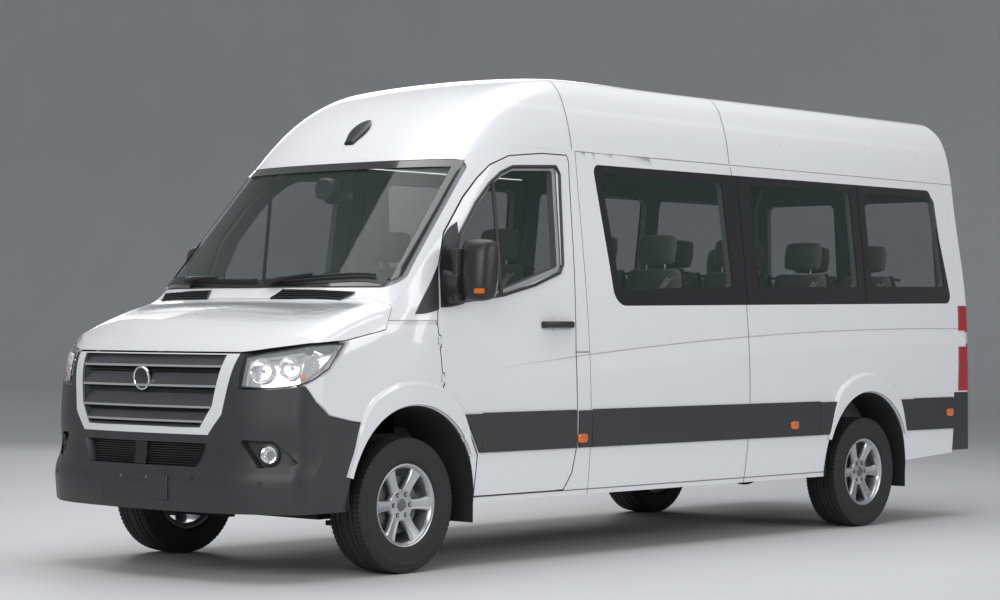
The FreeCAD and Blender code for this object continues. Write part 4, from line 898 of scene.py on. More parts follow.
def grille():
    """Five louvres with four bright bars, the mesh behind them, a sheet of painted shade behind that and the
    bare round badge.
    """
    blades = [louvre(low, high, -0.004, -0.030) for low, high in LOUVRES]
    bars = [slab([across_nose_bar(z, rise) for rise in (-0.0055, 0.0055)], 0.012) for z in BARS]
    edge = [(-half_mouth(z), z) for z in (1.136, 1.0, 0.88, 0.80, 0.774)] + [(0, 0.772)]
    edge += [(-y, z) for y, z in edge[-2::-1]]
    rim = tube([on_nose(y, z, -0.006)[0] for y, z in divided(edge, 0.06)], 0.006, 8)
    # A near-black sheet behind the mesh paints the shade deep in the grille's mouth
    shade_sheet = [across_nose(half_mouth(z), z, SHADE_SHEET_LIFT, 24) for z in (0.774, 0.83, 0.9, 1.0, MESH_TOP)]
    piece("grille_louvres", joined(blades + [rim]), LOUVRE, nodes=["grille"], bevel=0.001)
    piece("grille_mesh", joined(grille_wires()), TRIM)
    piece("grille_bars", joined(bars), BRIGHT, slot="alloy")
    piece("grille_shade_sheet", slab(shade_sheet, 0.004), SHADOW)

    centre = on_nose(0, BADGE_HEIGHT)[0]
    lean = Matrix.Rotation(math.radians(-6), 4, "X")
    turn = Matrix.Translation(centre) @ Matrix.Rotation(math.radians(-90), 4, "Z") @ lean
    disc = turned([(-0.030, 0.001), (0.0050, 0.001), (0.0046, 0.030), (0.0030, 0.054), (-0.030, 0.056)], 60)
    ring = turned([(-0.006, 0.0535), (0.0045, 0.0530), (0.0075, 0.0560), (0.0070, 0.0600), (0.0040, 0.0625),
                   (-0.006, 0.0625)], 60, closed=True)
    piece("badge_disc", placed(disc, turn), GLOSS)
    piece("badge_ring", placed(ring, turn), BRIGHT, slot="alloy")


def low_grille():
    """The lower opening's bars, its centre post and its cheeks, with a sheet of painted shade behind them."""
    bars = []
    for k in range(9):
        z = 0.582 + k * 0.0125
        half = 0.418 + (z - 0.572) * 0.43 - 0.012
        bars.append(tube([p for p, n in across_nose(half, z, -0.028, 16)], 0.003, 6))
    post = [[on_nose(y, z, -0.018) for y in (-0.045, 0, 0.045)] for z in (0.574, 0.63, 0.690)]
    # A near-black sheet behind the bars paints the shade deep in the lower opening
    shade_sheet = [across_nose(0.43, z, -0.046, 12) for z in (0.56, 0.63, 0.70)]
    cheeks = []
    for side in (LEFT, RIGHT):
        rows = [[on_nose(side * y, z, lift) for y, lift in ((inner, -0.040), (outer, 0.0))]
                for z, inner, outer in ((0.574, 0.400, 0.424), (0.63, 0.420, 0.447), (0.690, 0.440, 0.472))]
        cheeks.append(slab(rows, 0.004))
    piece("low_grille_bars", joined(bars + [slab(post, 0.008)] + cheeks), TRIM)
    piece("low_grille_shade_sheet", slab(shade_sheet, 0.004), SHADOW)


# The headlamp's upper and lower edge, and the direction in which they were read
LAMP_TOP = [(0.860, 0.668, 1.126), (0.791, 0.797, 1.156), (0.666, 0.916, 1.181), (0.470, 0.962, 1.192)]
LAMP_LOW = [(0.900, 0.668, 0.978), (0.841, 0.816, 0.976), (0.728, 0.948, 1.000), (0.590, 0.979, 1.070)]
LAMP_VIEW = Vector((-0.72, -0.66, -0.2)).normalized()


def curve_through(points, count):
    """Points along a smooth curve through a few given ones."""
    ends = [tuple(2 * a - b for a, b in zip(points[0], points[1]))] + list(points)
    ends.append(tuple(2 * a - b for a, b in zip(points[-1], points[-2])))
    result = []
    spans = len(points) - 1
    for k in range(count + 1):
        place = k / count * spans
        i = min(int(place), spans - 1)
        t = place - i
        near = zip(*(ends[i + j] for j in range(4)))
        result.append(tuple(0.5 * (2 * b + (c - a) * t + (2 * a - 5 * b + 4 * c - d) * t * t
                                   + (3 * b - a - 3 * c + d) * t ** 3) for a, b, c, d in near))
    return result


def on_lamp(side):
    """Projection onto the skin from obliquely ahead, on one side."""
    view = Vector((LAMP_VIEW.x, LAMP_VIEW.y * side, LAMP_VIEW.z))

    def project(x, y, z, lift):
        return hit(at(x, y * side, z) - view * 0.6, view, lift)
    return project


def facing_matrix(centre, direction):
    """Places a shape drawn about the y axis at a point, its axis along a direction."""
    return Matrix.Translation(centre) @ direction.to_track_quat("Y", "Z").to_matrix().to_4x4()


def headlamps():
    """Clear cover, bright bowl plate, two round reflectors with bulbs, the seal and the amber lamp."""
    bowl = turned([(-0.052, 0.004), (-0.048, 0.020), (-0.034, 0.038), (-0.012, 0.052), (0.0, 0.058),
                   (0.002, 0.061), (-0.003, 0.062), (-0.055, 0.030)], 44)
    bulb = turned([(-0.052, 0.001), (-0.020, 0.001), (-0.016, 0.006), (-0.022, 0.009), (-0.052, 0.010)], 20)
    amber = turned([(-0.01, 0.001), (0.010, 0.001), (0.006, 0.014), (-0.01, 0.018)], 20)
    for label, side in SIDES.items():
        project = on_lamp(side)
        top, low = curve_through(LAMP_TOP, 20), curve_through(LAMP_LOW, 20)
        cover = draped(low, top, project, 6, -0.0005)
        plate = draped(low, top, project, 6, -0.048)
        if side == RIGHT:
            cover, plate = cover[::-1], plate[::-1]
        piece(f"lamp_cover_{label}", slab(cover, 0.003), CLEAR, slot="clear_lens",
              nodes=[f"headlamp_{label}"])
        piece(f"lamp_bowl_plate_{label}", slab(plate, 0.003), REFLECTOR, slot="clear_lens")
        rim = low + top[::-1]
        path = [project(*point, 0.0)[0] for point in divided(rim + rim[:1], 0.03)]
        piece(f"lamp_seal_{label}", tube(path, 0.0035, 8), TRIM)
        shapes, bulbs = [], []
        for along, size in ((0.20, 1.05), (0.50, 1.0)):
            k = round(along * 20)
            point, normal = project(*between(low[k], top[k], 0.52), -0.016)
            ahead = (Vector((1, 0.35 * side, 0)) + normal).normalized()
            where = facing_matrix(point, ahead) @ Matrix.Scale(size, 4)
            shapes.append(placed(bowl, where))
            bulbs.append(placed(bulb, where))
        piece(f"lamp_reflectors_{label}", joined(shapes), REFLECTOR, slot="clear_lens")
        piece(f"lamp_bulbs_{label}", joined(bulbs), BRUSHED, slot="clear_lens")
        point, normal = project(*between(low[13], top[13], 0.18), -0.012)
        ahead = (Vector((0.6, side, 0)) + normal).normalized()
        shape = placed(amber, facing_matrix(point, ahead))
        piece(f"lamp_indicator_{label}", shape, AMBER, slot="clear_lens")


def fog_lamps():
    """Pockets low in the bumper with a round lamp in each."""
    bezel = turned([(-0.030, 0.0435), (0.006, 0.0435), (0.011, 0.0475), (0.009, 0.0540),
                    (-0.030, 0.0550)], 40, closed=True)
    bowl = turned([(-0.028, 0.001), (-0.024, 0.018), (-0.012, 0.034), (0.001, 0.0430), (-0.030, 0.0434)], 40)
    glass = turned([(0.006, 0.0005), (0.005, 0.020), (0.001, 0.0435), (-0.003, 0.0435), (0.002, 0.0005)], 40)
    for label, side in SIDES.items():
        back = []
        for share in (0, 0.5, 1):
            inner, outer, z = between((0.735, 0.985, 0.566), (0.650, 0.865, 0.728), share)
            back.append([on_nose(side * (inner + (outer - inner) * k / 10), z, -0.045) for k in range(11)])
        if side == RIGHT:
            back = back[::-1]
        centre = on_nose(0.815 * side, 0.643)[0]
        ahead = Vector((0.82, 0.57 * side, 0.02)).normalized()
        where = facing_matrix(centre - ahead * 0.022, ahead)
        piece(f"fog_pocket_{label}", slab(back, 0.004), BUMPER)
        piece(f"fog_bezel_{label}", placed(bezel, where), TRIM)
        piece(f"fog_reflector_{label}", placed(bowl, where), REFLECTOR, slot="clear_lens")
        piece(f"fog_cover_{label}", placed(glass, where), CLEAR, slot="clear_lens")


PLATE_FACE = 1.032
FORWARDS = Vector((1, 0, 0))


def bumper_details():
    """The blank plate holder with its screws, and the parking sensors."""
    rows = [[(at(PLATE_FACE, y, z), FORWARDS) for y in (-0.26, 0.26)] for z in (0.400, 0.527)]
    screw = cylinder(0.006, 0, 0.003, sides=16)
    screws = [placed(screw, facing_matrix(at(PLATE_FACE - 0.002, y, 0.510), FORWARDS)) for y in (-0.1, 0.1)]
    piece("plate_holder", slab(rows, 0.010), PLATE, bevel=0.004)
    piece("plate_screws", joined(screws), BRUSHED, slot="alloy")
    dots = []
    for y, z in ((0.42, 0.515), (-0.42, 0.515), (0.80, 0.500), (-0.80, 0.500)):
        point, normal = on_front(y, z, -0.004)
        dots.append(placed(cylinder(0.011, 0, 0.0055, sides=20), facing_matrix(point, normal)))
    piece("parking_sensors", joined(dots), TRIM, bevel=0.001)


# Mirrors, sails, seals and handles of the front doors


def ringed(rows):
    """A closed skin through outlines given as (x, y, z) from the front axle."""
    return loft([[at(*point) for point in row] for row in rows])


# The mirror: the place of its middle, its lean, and its housing's sections as y, height, depth and setback
MIRROR_X, MIRROR_Z = -0.395, 1.588
MIRROR_LEAN = 0.075
MIRROR_SECTIONS = ((1.012, 0.240, 0.080, 0.0), (1.016, 0.290, 0.108, 0.0), (1.035, 0.322, 0.134, 0.0),
                   (1.080, 0.332, 0.150, 0.002), (1.130, 0.330, 0.144, 0.004), (1.170, 0.318, 0.124, 0.008),
                   (1.190, 0.292, 0.094, 0.012), (1.1975, 0.240, 0.056, 0.016))


def mirror_rings():
    """Outlines of the mirror's housing from its inner to its outer side, drawn for the left."""
    rings = []
    for y, high, deep, setback in MIRROR_SECTIONS:
        ring = []
        for across, up in oval(deep, high, 3.4, 32):
            bulge = 1.12 if across > 0 else 0.88
            ring.append((MIRROR_X - setback + across * bulge - MIRROR_LEAN * up, y, MIRROR_Z + up))
        rings.append(ring)
    return rings


def doors():
    """Everything black on the front doors, and the mirrors that ride on them."""
    sail_low = [(-0.258, 1.388), (-0.330, 1.392), (-0.400, 1.402), (-0.440, 1.410)]
    sail_high = [(-0.274, 1.600), (-0.318, 1.740), (-0.370, 1.810), (-0.440, 1.850)]
    fixed_low = [(-0.062, 1.352), (-0.120, 1.354), (-0.180, 1.362), (-0.240, 1.378)]
    fixed_high = [(-0.070, 1.362), (-0.135, 1.440), (-0.200, 1.520), (-0.262, 1.610)]
    glass_edge = [(-1.322, 2.150), (-1.287, 1.640), (-1.255, 1.592), (-1.034, 1.520), (-0.767, 1.462),
                  (-0.600, 1.440), (-0.345, 1.416), (-0.352, 1.560), (-0.456, 1.786), (-0.603, 1.962),
                  (-0.722, 2.070), (-0.822, 2.135), (-0.924, 2.172), (-1.294, 2.192)]
    bar_front, bar_rear = [(-0.738, 1.462), (-0.762, 1.462)], [(-0.738, 2.075), (-0.762, 2.085)]
    for label, side in SIDES.items():
        body = f"front_door_{label}"
        view = lambda x, z, lift, side=side: on_side(x, z, lift, side)

        def plate(low, high, lift):
            return flush(draped(curve_flat(low, 8), curve_flat(high, 8), view, 8, lift), 0.004, side)

        piece(f"mirror_sail_{label}", plate(sail_low, sail_high, 0.005), TRIM, body)
        piece(f"pillar_sail_{label}", plate(fixed_low, fixed_high, 0.005), TRIM)
        closed = divided(glass_edge + glass_edge[:1], 0.05)
        seal = tube([on_side(x, z, 0.001, side)[0] for x, z in closed], 0.010, 8)
        bar = slab(draped(bar_front, bar_rear, view, 8, 0.004), 0.006)
        piece(f"window_seal_{label}", joined([seal, bar]), TRIM, body)

        house = ringed(mirror_rings())
        foot = ringed([[(-0.318 + a, y, z + b) for a, b in oval(0.085, high, 2.6, 20)]
                       for y, z, high in ((0.905, 1.500, 0.200), (0.960, 1.496, 0.180), (1.000, 1.500, 0.150),
                                          (1.050, 1.510, 0.120))])
        post = ringed([[(-0.325 + a, 1.022 + b, z) for a, b in oval(0.075, 0.050, 2.6, 20)]
                       for z in (1.420, 1.500, 1.600, 1.700)])
        face = []
        for up in (-0.142, -0.07, 0, 0.07, 0.142):
            half = 0.070 * (1 - (abs(up) / 0.155) ** 4) ** 0.25
            back = MIRROR_X - 0.0749 - MIRROR_LEAN * up
            face.append([(at(back, 1.108 - half + 2 * half * k / 8, MIRROR_Z + up), -FORWARDS)
                         for k in range(9)])
        amber = []
        for up in (-0.125, -0.112, -0.099):
            amber.append([(at(MIRROR_X + 0.077 - abs(k - 4) * 0.0042, 1.095 + k * 0.0115, MIRROR_Z + up),
                           FORWARDS) for k in range(9)])
        piece(f"mirror_housing_{label}", sided(joined([house, post, foot]), side), TRIM, body,
              nodes=[f"mirror_{label}"], bevel=0.003)
        piece(f"mirror_face_{label}", sided(slab(face, 0.006), side), MIRROR, body, slot="glass")
        piece(f"mirror_indicator_{label}", sided(slab(amber, 0.010), side), AMBER, body, slot="clear_lens")

        ring = oval(0.090, 0.116, 2.1, 28)
        cup = []
        for share, lift in ((1.0, 0.0008), (0.93, -0.001), (0.8, -0.008), (0.5, -0.014), (0.02, -0.0155)):
            cup.append([on_side(-1.205 + a * share, 1.298 + b * share, lift, side) for a, b in ring])
        rows = [row + row[:1] for row in cup]
        recess = slab(rows if side == RIGHT else [row[::-1] for row in rows], 0.001)
        piece(f"handle_recess_{label}", recess, PAINT, body, slot="body_paint")
        grip = []
        for x, lift in ((-1.070, 0.006), (-1.082, 0.026), (-1.11, 0.036), (-1.20, 0.039), (-1.29, 0.036),
                        (-1.318, 0.026), (-1.333, 0.006)):
            point, normal = on_side(x, 1.300, lift, side)
            grip.append([point + Vector((0, 0, b)) + normal * a for a, b in oval(0.016, 0.036, 3, 16)])
        handle = loft(grip if side == RIGHT else [ring[::-1] for ring in grip])
        piece(f"pull_handle_{label}", handle, TRIM, body, bevel=0.001)


def curve_flat(points, count):
    """A smooth line through points that have two values each."""
    return [(a, b) for a, b, _ in curve_through([(a, b, 0) for a, b in points], count)]


# Bonnet vents, cowl, wipers and the pod on the roof cap


def screen_foot(y):
    """Where the windscreen's lower edge lies, from the front axle."""
    return 0.245 - 0.185 * (abs(y) / 0.9) ** 2.2


def vents_and_wipers():
    """Slatted vents on the bonnet with painted shade under their slats, the cowl strip, two wipers, the
    screen's border and the roof pod.
    """
    for label, side in SIDES.items():
        front = [(0.312, 0.250), (0.300, 0.400), (0.276, 0.560), (0.246, 0.700)]
        rear = [(0.248, 0.290), (0.236, 0.430), (0.210, 0.590), (0.172, 0.745)]
        first = curve_flat([(x, y * side) for x, y in front], 18)
        second = curve_flat([(x, y * side) for x, y in rear], 18)
        rows = draped(first, second, on_top, 4, 0.0015)
        shape = slab(rows if side == LEFT else [row[::-1] for row in rows], 0.003)
        slats = []
        for share in (0.16, 0.38, 0.60, 0.82):
            line = [on_top(*between(a, b, share), 0.004)[0] for a, b in zip(first, second)]
            slats.append(tube(line, 0.0042, 6))
        ends = [tube([on_top(*between(a, b, k / 6), 0.003)[0] for k in range(7)], 0.0045, 6)
                for a, b in ((first[0], second[0]), (first[-1], second[-1]))]
        # The vent's dark sheet is painted shade under the slats
        piece(f"bonnet_vent_{label}", shape, SHADOW, "bonnet")
        piece(f"bonnet_vent_slats_{label}", joined(slats + ends), TRIM, "bonnet")

    half = 0.86
    line = [-half + 2 * half * k / 36 for k in range(37)]
    ahead = [(screen_foot(y) - 0.004, y) for y in line]
    behind = [(screen_foot(y) - 0.040, y) for y in line]
    piece("cowl_strip", slab(draped(ahead, behind, on_top, 3, 0.004)[::-1], 0.004), TRIM)
    arms = []
    for start, tip in ((-0.62, 0.05), (0.10, 0.80)):
        line = [start + (tip - start) * k / 16 for k in range(17)]
        arms.append(tube([on_top(screen_foot(y) - 0.030, y, 0.018)[0] for y in line], 0.008, 8))
        pivot = (start + 0.06, screen_foot(start + 0.06) - 0.010)
        elbow = (start + 0.34, screen_foot(start + 0.34) - 0.034)
        arm = [between(pivot, elbow, k / 6) for k in range(7)]
        arms.append(tube([on_top(x, y, 0.028)[0] for y, x in arm], [0.014] * 3 + [0.009] * 4, 8))
    piece("wipers", joined(arms), TRIM)

    corners = [(-0.912, 1.490), (0.912, 1.490), (0.842, 2.198), (-0.842, 2.198)]
    inset = [(y * 0.955, z + (0.035 if z < 1.6 else -0.045)) for y, z in corners]
    outer = divided([(y * 0.992, z + (0.006 if z < 1.6 else -0.006)) for y, z in corners + corners[:1]], 0.06)
    inner = divided([*inset, inset[0]], 0.06)
    count = min(len(outer), len(inner))
    outer = [outer[round(k * (len(outer) - 1) / (count - 1))] for k in range(count)]
    inner = [inner[round(k * (len(inner) - 1) / (count - 1))] for k in range(count)]
    border = draped(outer, inner, on_front, 2, 0.0012)
    piece("screen_border", slab(border[::-1], 0.002), GLOSS)
    rings = []
    for k in range(7):
        share = k / 6
        size = math.sin(math.pi * min(0.97, max(0.10, share))) ** 0.5
        centre = on_top(-0.520 - 0.16 * share, 0.0, 0.0)[0]
        outline = oval(0.045 * size, 0.130 * size, 2.6, 20)
        rings.append([centre + Vector((0, b, a + 0.004)) for a, b in outline])
    piece("roof_pod", loft(rings), TRIM)


# Arch flares, strip ends, corner lenses and side markers

# Each short length of strip: x of its start and its end, both at its lower and its upper edge
STRIP_ENDS = {
    "door": [((-0.535, -0.415), (-0.550, -0.550))],
    "root": [((-1.370, -1.370), (-1.479, -1.479)), ((-3.782, -3.782), (-3.885, -3.965)),
             ((-4.768, -4.680), (-4.873, -4.873))],
}
STRIP_LOW, STRIP_DEPTH = 0.6125, 0.2085
FLARE_ENDS, FLARE_SWELL = 0.030, 0.101


def along_side(first, last, z, lift, side):
    """Seven points of the side at one height."""
    return [on_side(first + (last - first) * k / 6, z, lift, side) for k in range(7)]


def strip_ends(label, side):
    """The slanted ends of the rub strips and the short length on the pillar behind the door."""
    for body, spans in STRIP_ENDS.items():
        fills = []
        for (low_start, high_start), (low_end, high_end) in spans:
            rows = []
            for share in (0, 0.5, 1):
                first, last = between((low_start, low_end), (high_start, high_end), share)
                rows.append(along_side(first, last, STRIP_LOW + STRIP_DEPTH * share, 0.0135, side))
            fills.append(flush(rows, 0.0125, side))
        rider = "root" if body == "root" else f"front_door_{label}"
        piece(f"strip_ends_{body}_{label}", joined(fills), BUMPER, rider, bevel=0.003)


def lens_wraps(label, side):
    """The tail lamp's ends that wrap round the rear corner: one over and one under the pale band."""
    lenses = []
    for low_z, high_z in ((0.868, 1.170), (1.280, 1.450)):
        rows = []
        for z in (low_z, (low_z + high_z) / 2, high_z):
            ahead = -5.455 - 0.05 * (z - 0.868) / 0.582
            rows.append(along_side(ahead, -5.590, z, 0.006, side))
        lenses.append(flush(rows, 0.006, side))
    piece(f"tail_lens_wrap_{label}", joined(lenses), TAIL, slot="red_lens", bevel=0.002)


def side_markers(label, side):
    """Amber markers along the rub strip."""
    marks = []
    for x, z in ((-1.394, 0.665), (-3.480, 0.683), (-5.332, 0.723)):
        point, normal = on_side(x, z, 0.012, side)
        outline = oval(0.084, 0.050, 4, 20)
        rings = [[point + normal * out + Vector((a * size, 0, b * size)) for a, b in outline]
                 for out, size in ((-0.014, 1), (0.004, 1), (0.007, 0.85))]
        marks.append(loft(rings if side == RIGHT else [ring[::-1] for ring in rings]))
    piece(f"side_markers_{label}", joined(marks), AMBER, slot="clear_lens")


def flares():
    """The raised lips round the wheel arches, wide over the wheel and narrow at their ends."""
    spans = {"front": (FRONT_ARCH, 14, 154), "rear": (REAR_ARCH, 22, 156)}
    profile = ((0.004, -0.006), (0.005, 0.018), (0.05, 0.021), (0.5, 0.021), (0.84, 0.019), (0.90, 0.011),
               (0.99, 0.002), (1.0, -0.004))
    for label, side in SIDES.items():
        for end, (centre, first, last) in spans.items():
            lines = []
            for share, lift in profile:
                line = []
                for k in range(61):
                    degrees = first + (last - first) * k / 60
                    fade = min(1, max(0, (min(degrees, 180 - degrees) - 25) / 37))
                    wide = FLARE_ENDS + FLARE_SWELL * fade * fade * (3 - 2 * fade)
                    radius = ARCH_RADIUS + (share if share < 0.04 else share * wide)
                    angle = math.radians(degrees)
                    x, z = centre + radius * math.cos(angle), ARCH_HEIGHT + radius * math.sin(angle)
                    line.append(on_side(x, z, lift, side))
                lines.append(line)
            shape = grid([[p for p, n in line] for line in (lines if side == RIGHT else lines[::-1])])
            piece(f"arch_flare_{end}_{label}", shape, FLARE, slot="body_paint")
        strip_ends(label, side)
        lens_wraps(label, side)
        side_markers(label, side)


# Seats: covers swollen by a cloth simulation


PRESSURE = 4
FRAMES = 20
VOXEL = 0.014
CREASE = 0.128


def swollen(shape, cap, voxel=VOXEL):
    """A shape as an even skin, blown up a little as cloth under pressure; cap limits the movement."""
    scene = bpy.context.scene
    mesh = bpy.data.meshes.new("cover")
    mesh.from_pydata([tuple(p) for p in shape[0]], [], shape[1])
    thing = bpy.data.objects.new("cover", mesh)
    scene.collection.objects.link(thing)
    even = thing.modifiers.new("even", "REMESH")
    even.mode = "VOXEL"
    even.voxel_size = voxel
    graph = bpy.context.evaluated_depsgraph_get()
    dense = bpy.data.meshes.new_from_object(thing.evaluated_get(graph))
    thing.modifiers.clear()
    thing.data = dense
    points = [v.co.copy() for v in dense.vertices]
    faces = [list(p.vertices) for p in dense.polygons]
    cloth = thing.modifiers.new("cloth", "CLOTH")
    cloth.settings.use_pressure = True
    cloth.settings.uniform_pressure_force = PRESSURE
    cloth.settings.effector_weights.gravity = 0
    cloth.collision_settings.use_collision = False
    cloth.point_cache.frame_end = FRAMES
    for step in range(1, FRAMES + 1):
        scene.frame_set(step)
    graph = bpy.context.evaluated_depsgraph_get()
    blown = bpy.data.meshes.new_from_object(thing.evaluated_get(graph))
    for index, vertex in enumerate(blown.vertices):
        move = vertex.co - points[index]
        if move.length > cap:
            move *= cap / move.length
        points[index] = points[index] + move
    bpy.data.meshes.remove(blown)
    scene.frame_set(1)
    bpy.data.objects.remove(thing)
    bpy.data.meshes.remove(dense)
    bpy.data.meshes.remove(mesh)
    return points, faces


BACK_LEAN = 0.150


def wing(across):
    """How far the padding is raised towards a seat's side, from 0 to 1."""
    return min(1, max(0, (abs(across) - 0.125) / 0.05))


def cushion_form():
    """The seat cushion about its base: x forwards, z up, with raised sides."""
    rings = []
    for x, wide, deep, lift in ((-0.236, 0.36, 0.070, 0.058), (-0.226, 0.400, 0.098, 0.060),
                                (-0.150, 0.415, 0.112, 0.062), (0.0, 0.418, 0.116, 0.064),
                                (0.150, 0.418, 0.114, 0.064), (0.205, 0.408, 0.100, 0.058),
                                (0.222, 0.380, 0.070, 0.052)):
        ring = []
        for a, b in oval(wide, deep, 4.5, 40):
            ring.append(Vector((x, a, lift + b + (0.014 * wing(a) if b > 0 else 0))))
        rings.append(ring)
    return loft(rings[::-1])


def back_form():
    """The back of the seat, leaning, with wings along its sides."""
    rings = []
    for z, wide, deep in ((0.105, 0.36, 0.070), (0.118, 0.400, 0.098), (0.25, 0.415, 0.104),
                          (0.45, 0.420, 0.100), (0.60, 0.415, 0.092), (0.675, 0.385, 0.080),
                          (0.695, 0.330, 0.056)):
        middle_x = -0.205 - BACK_LEAN * (z - 0.11)
        rings.append([Vector((middle_x + a + (0.018 * wing(b) if a > 0 else 0), b, z))
                      for a, b in oval(deep, wide, 4, 40)])
    return loft(rings)


def head_form():
    """The headrest."""
    rings = []
    for z, wide, deep in ((0.715, 0.22, 0.050), (0.725, 0.262, 0.076), (0.80, 0.280, 0.086),
                          (0.875, 0.262, 0.076), (0.890, 0.21, 0.050)):
        middle_x = -0.292 - BACK_LEAN * (z - 0.7)
        rings.append([Vector((middle_x + a, b, z)) for a, b in oval(deep, wide, 3.4, 32)])
    return loft(rings)


def trimmed(cushion, back):
    """Piping along the edges of a seat, its belt and the posts of its headrest."""
    tree = BVHTree.FromPolygons(*cushion)
    leaning = BVHTree.FromPolygons(*back)

    def down(x, y, lift):
        point, normal, _, _ = tree.ray_cast(Vector((x, y, 0.4)), Vector((0, 0, -1)))
        return point + normal * lift

    def ahead(y, z, lift):
        point, normal, _, _ = leaning.ray_cast(Vector((0.4, y, z)), Vector((-1, 0, 0)))
        return point + normal * lift, normal

    lines = []
    for y in (-CREASE, CREASE):
        lines.append(tube([down(-0.15 + 0.335 * k / 14, y, 0.0005) for k in range(15)], 0.0032, 6))
        lines.append(tube([ahead(y, 0.16 + 0.47 * k / 18, 0.0005)[0] for k in range(19)], 0.0032, 6))
    level = [-CREASE + 2 * CREASE * k / 10 for k in range(11)]
    lines.append(tube([down(-0.02, y, 0.0005) for y in level], 0.0028, 6))
    lines.append(tube([ahead(y, 0.43, 0.0005)[0] for y in level], 0.0028, 6))
    rows = []
    for across in (-0.023, 0.023):
        rows.append([ahead(0.155 - 0.30 * k / 20 + across, 0.635 - 0.47 * k / 20, 0.003) for k in range(21)])
    posts = [tube([Vector((-0.285, y, 0.66)), Vector((-0.296, y, 0.74))], 0.006, 10) for y in (-0.07, 0.07)]
    return joined(lines), slab(rows, 0.002), joined(posts)


CAB_SEATS, DRIVER = -1.010, 0.43
FIRST_ROW, ROW_PITCH = -2.26, 0.78
ROW_PLACES = (0.61, 0.15, -0.61)
SEAT_HEIGHT = 0.96


def seats():
    """Two cab seats and four rows of three, each row one piece."""
    cushion = swollen(cushion_form(), 0.012)
    back = swollen(back_form(), 0.012)
    head = swollen(head_form(), 0.010)
    piping, belt, posts = trimmed(cushion, back)
    shell = back_shell()
    rows = {"front": [(CAB_SEATS, DRIVER), (CAB_SEATS, -DRIVER)]}
    for row in range(4):
        rows[f"row_{row + 1}"] = [(FIRST_ROW - ROW_PITCH * row, y) for y in ROW_PLACES]
    stands_for = {"front": ["front_seats"], "row_1": ["saloon_seats"]}
    for name, places in rows.items():
        here = [Matrix.Translation(at(x, y, SEAT_HEIGHT)) for x, y in places]
        spread = lambda shape: joined([placed(shape, matrix) for matrix in here])
        padding = spread(joined([cushion, back, head]))
        nodes = stands_for.get(name, [])
        cover = piece(f"seat_covers_{name}", padding, CLOTH, slot="seat_fabric", nodes=nodes)
        piece(f"seat_piping_{name}", spread(piping), CABIN_DARK, slot="seat_fabric")
        piece(f"seat_belts_{name}", spread(belt), PALE_TRIM, slot="seat_fabric")
        piece(f"seat_posts_{name}", spread(posts), BRUSHED, slot="alloy")
        piece(f"seat_shells_{name}", spread(shell), CABIN_DARK, slot="cabin_plastic", bevel=0.002)


def back_shell():
    """The plastic shell behind a seat's back, its grab handle and the pan under its cushion."""
    rows = []
    for z, wide in ((0.06, 0.40), (0.2, 0.425), (0.45, 0.43), (0.62, 0.42), (0.685, 0.36)):
        row = []
        for k in range(11):
            x = -0.268 - BACK_LEAN * (z - 0.11) + 0.020 * (abs(k - 5) / 5) ** 4
            row.append((Vector((x, -wide / 2 + wide * k / 10, z)), -FORWARDS))
        rows.append(row)
    pan = loft([[Vector((x, a, 0.010 + b)) for a, b in oval(wide, 0.022, 5, 24)]
                for x, wide in ((0.215, 0.38), (0.18, 0.41), (-0.19, 0.41), (-0.22, 0.38))])
    grab = tube([Vector((-0.352 - out, y, z)) for out, y, z in
                 ((-0.01, 0.10, 0.655), (0.022, 0.11, 0.66), (0.030, 0.14, 0.662), (0.030, 0.18, 0.662),
                  (0.022, 0.205, 0.66), (-0.01, 0.212, 0.655))], 0.009, 10)
    return joined([slab(rows, 0.006), pan, grab])


# The driver's place


WHEEL_PLACE = (-0.6, -DRIVER, 1.33)
WHEEL_LEAN = math.radians(32)
WHEEL_RADIUS = 0.195
TOWARDS_DRIVER = Vector((-1, 0, 0.1))
LEVER_TOP = (-0.60, 0.0, 1.21)


def wheel_spoke(angle):
    """One spoke of the steering wheel, widest at the hub."""
    rings = []
    for radius, wide, lift in ((0.060, 0.058, 0), (0.110, 0.040, 0.004 / 3), (0.150, 0.034, 0.008 / 3),
                               (0.186, 0.040, 0.004)):
        rings.append([Vector((radius * math.cos(angle) - a * math.sin(angle), b - 0.004 + lift,
                              radius * math.sin(angle) + a * math.cos(angle)))
                      for a, b in oval(wide, 0.020, 3, 16)])
    return loft(rings)


def steering_place():
    """The steering wheel, which turns, and its column, which doesn't."""
    axis = Vector((-math.sin(WHEEL_LEAN), 0, math.cos(WHEEL_LEAN)))
    where = facing_matrix(at(*WHEEL_PLACE), axis)
    round_bar = [(0.0155 * math.sin(a), WHEEL_RADIUS + 0.0145 * math.cos(a))
                 for a in (2 * math.pi * k / 14 for k in range(14))]
    rim = turned(round_bar, 64, closed=True)
    hub = turned([(-0.030, 0.001), (-0.030, 0.050), (-0.006, 0.072), (0.006, 0.074), (0.014, 0.060),
                  (0.018, 0.001)], 40)
    spokes = [wheel_spoke(angle) for angle in (0, math.pi, -math.pi / 2)]
    ring = turned([(0.0130, 0.030), (0.0190, 0.031), (0.0190, 0.035), (0.0130, 0.036)], 40, closed=True)
    column = turned([(-0.170, 0.001), (-0.170, 0.042), (-0.040, 0.046), (-0.026, 0.040), (-0.026, 0.001)], 30)
    piece("wheel_rim_and_hub", placed(joined([rim, hub, *spokes]), where), CABIN_DARK, "steering_wheel",
          "cabin_plastic", ["steering_wheel"], bevel=0.002)
    piece("wheel_hub_ring", placed(ring, where), BRUSHED, "steering_wheel", "alloy")
    piece("steering_column", placed(column, where), CABIN_DARK, slot="cabin_plastic", bevel=0.002)


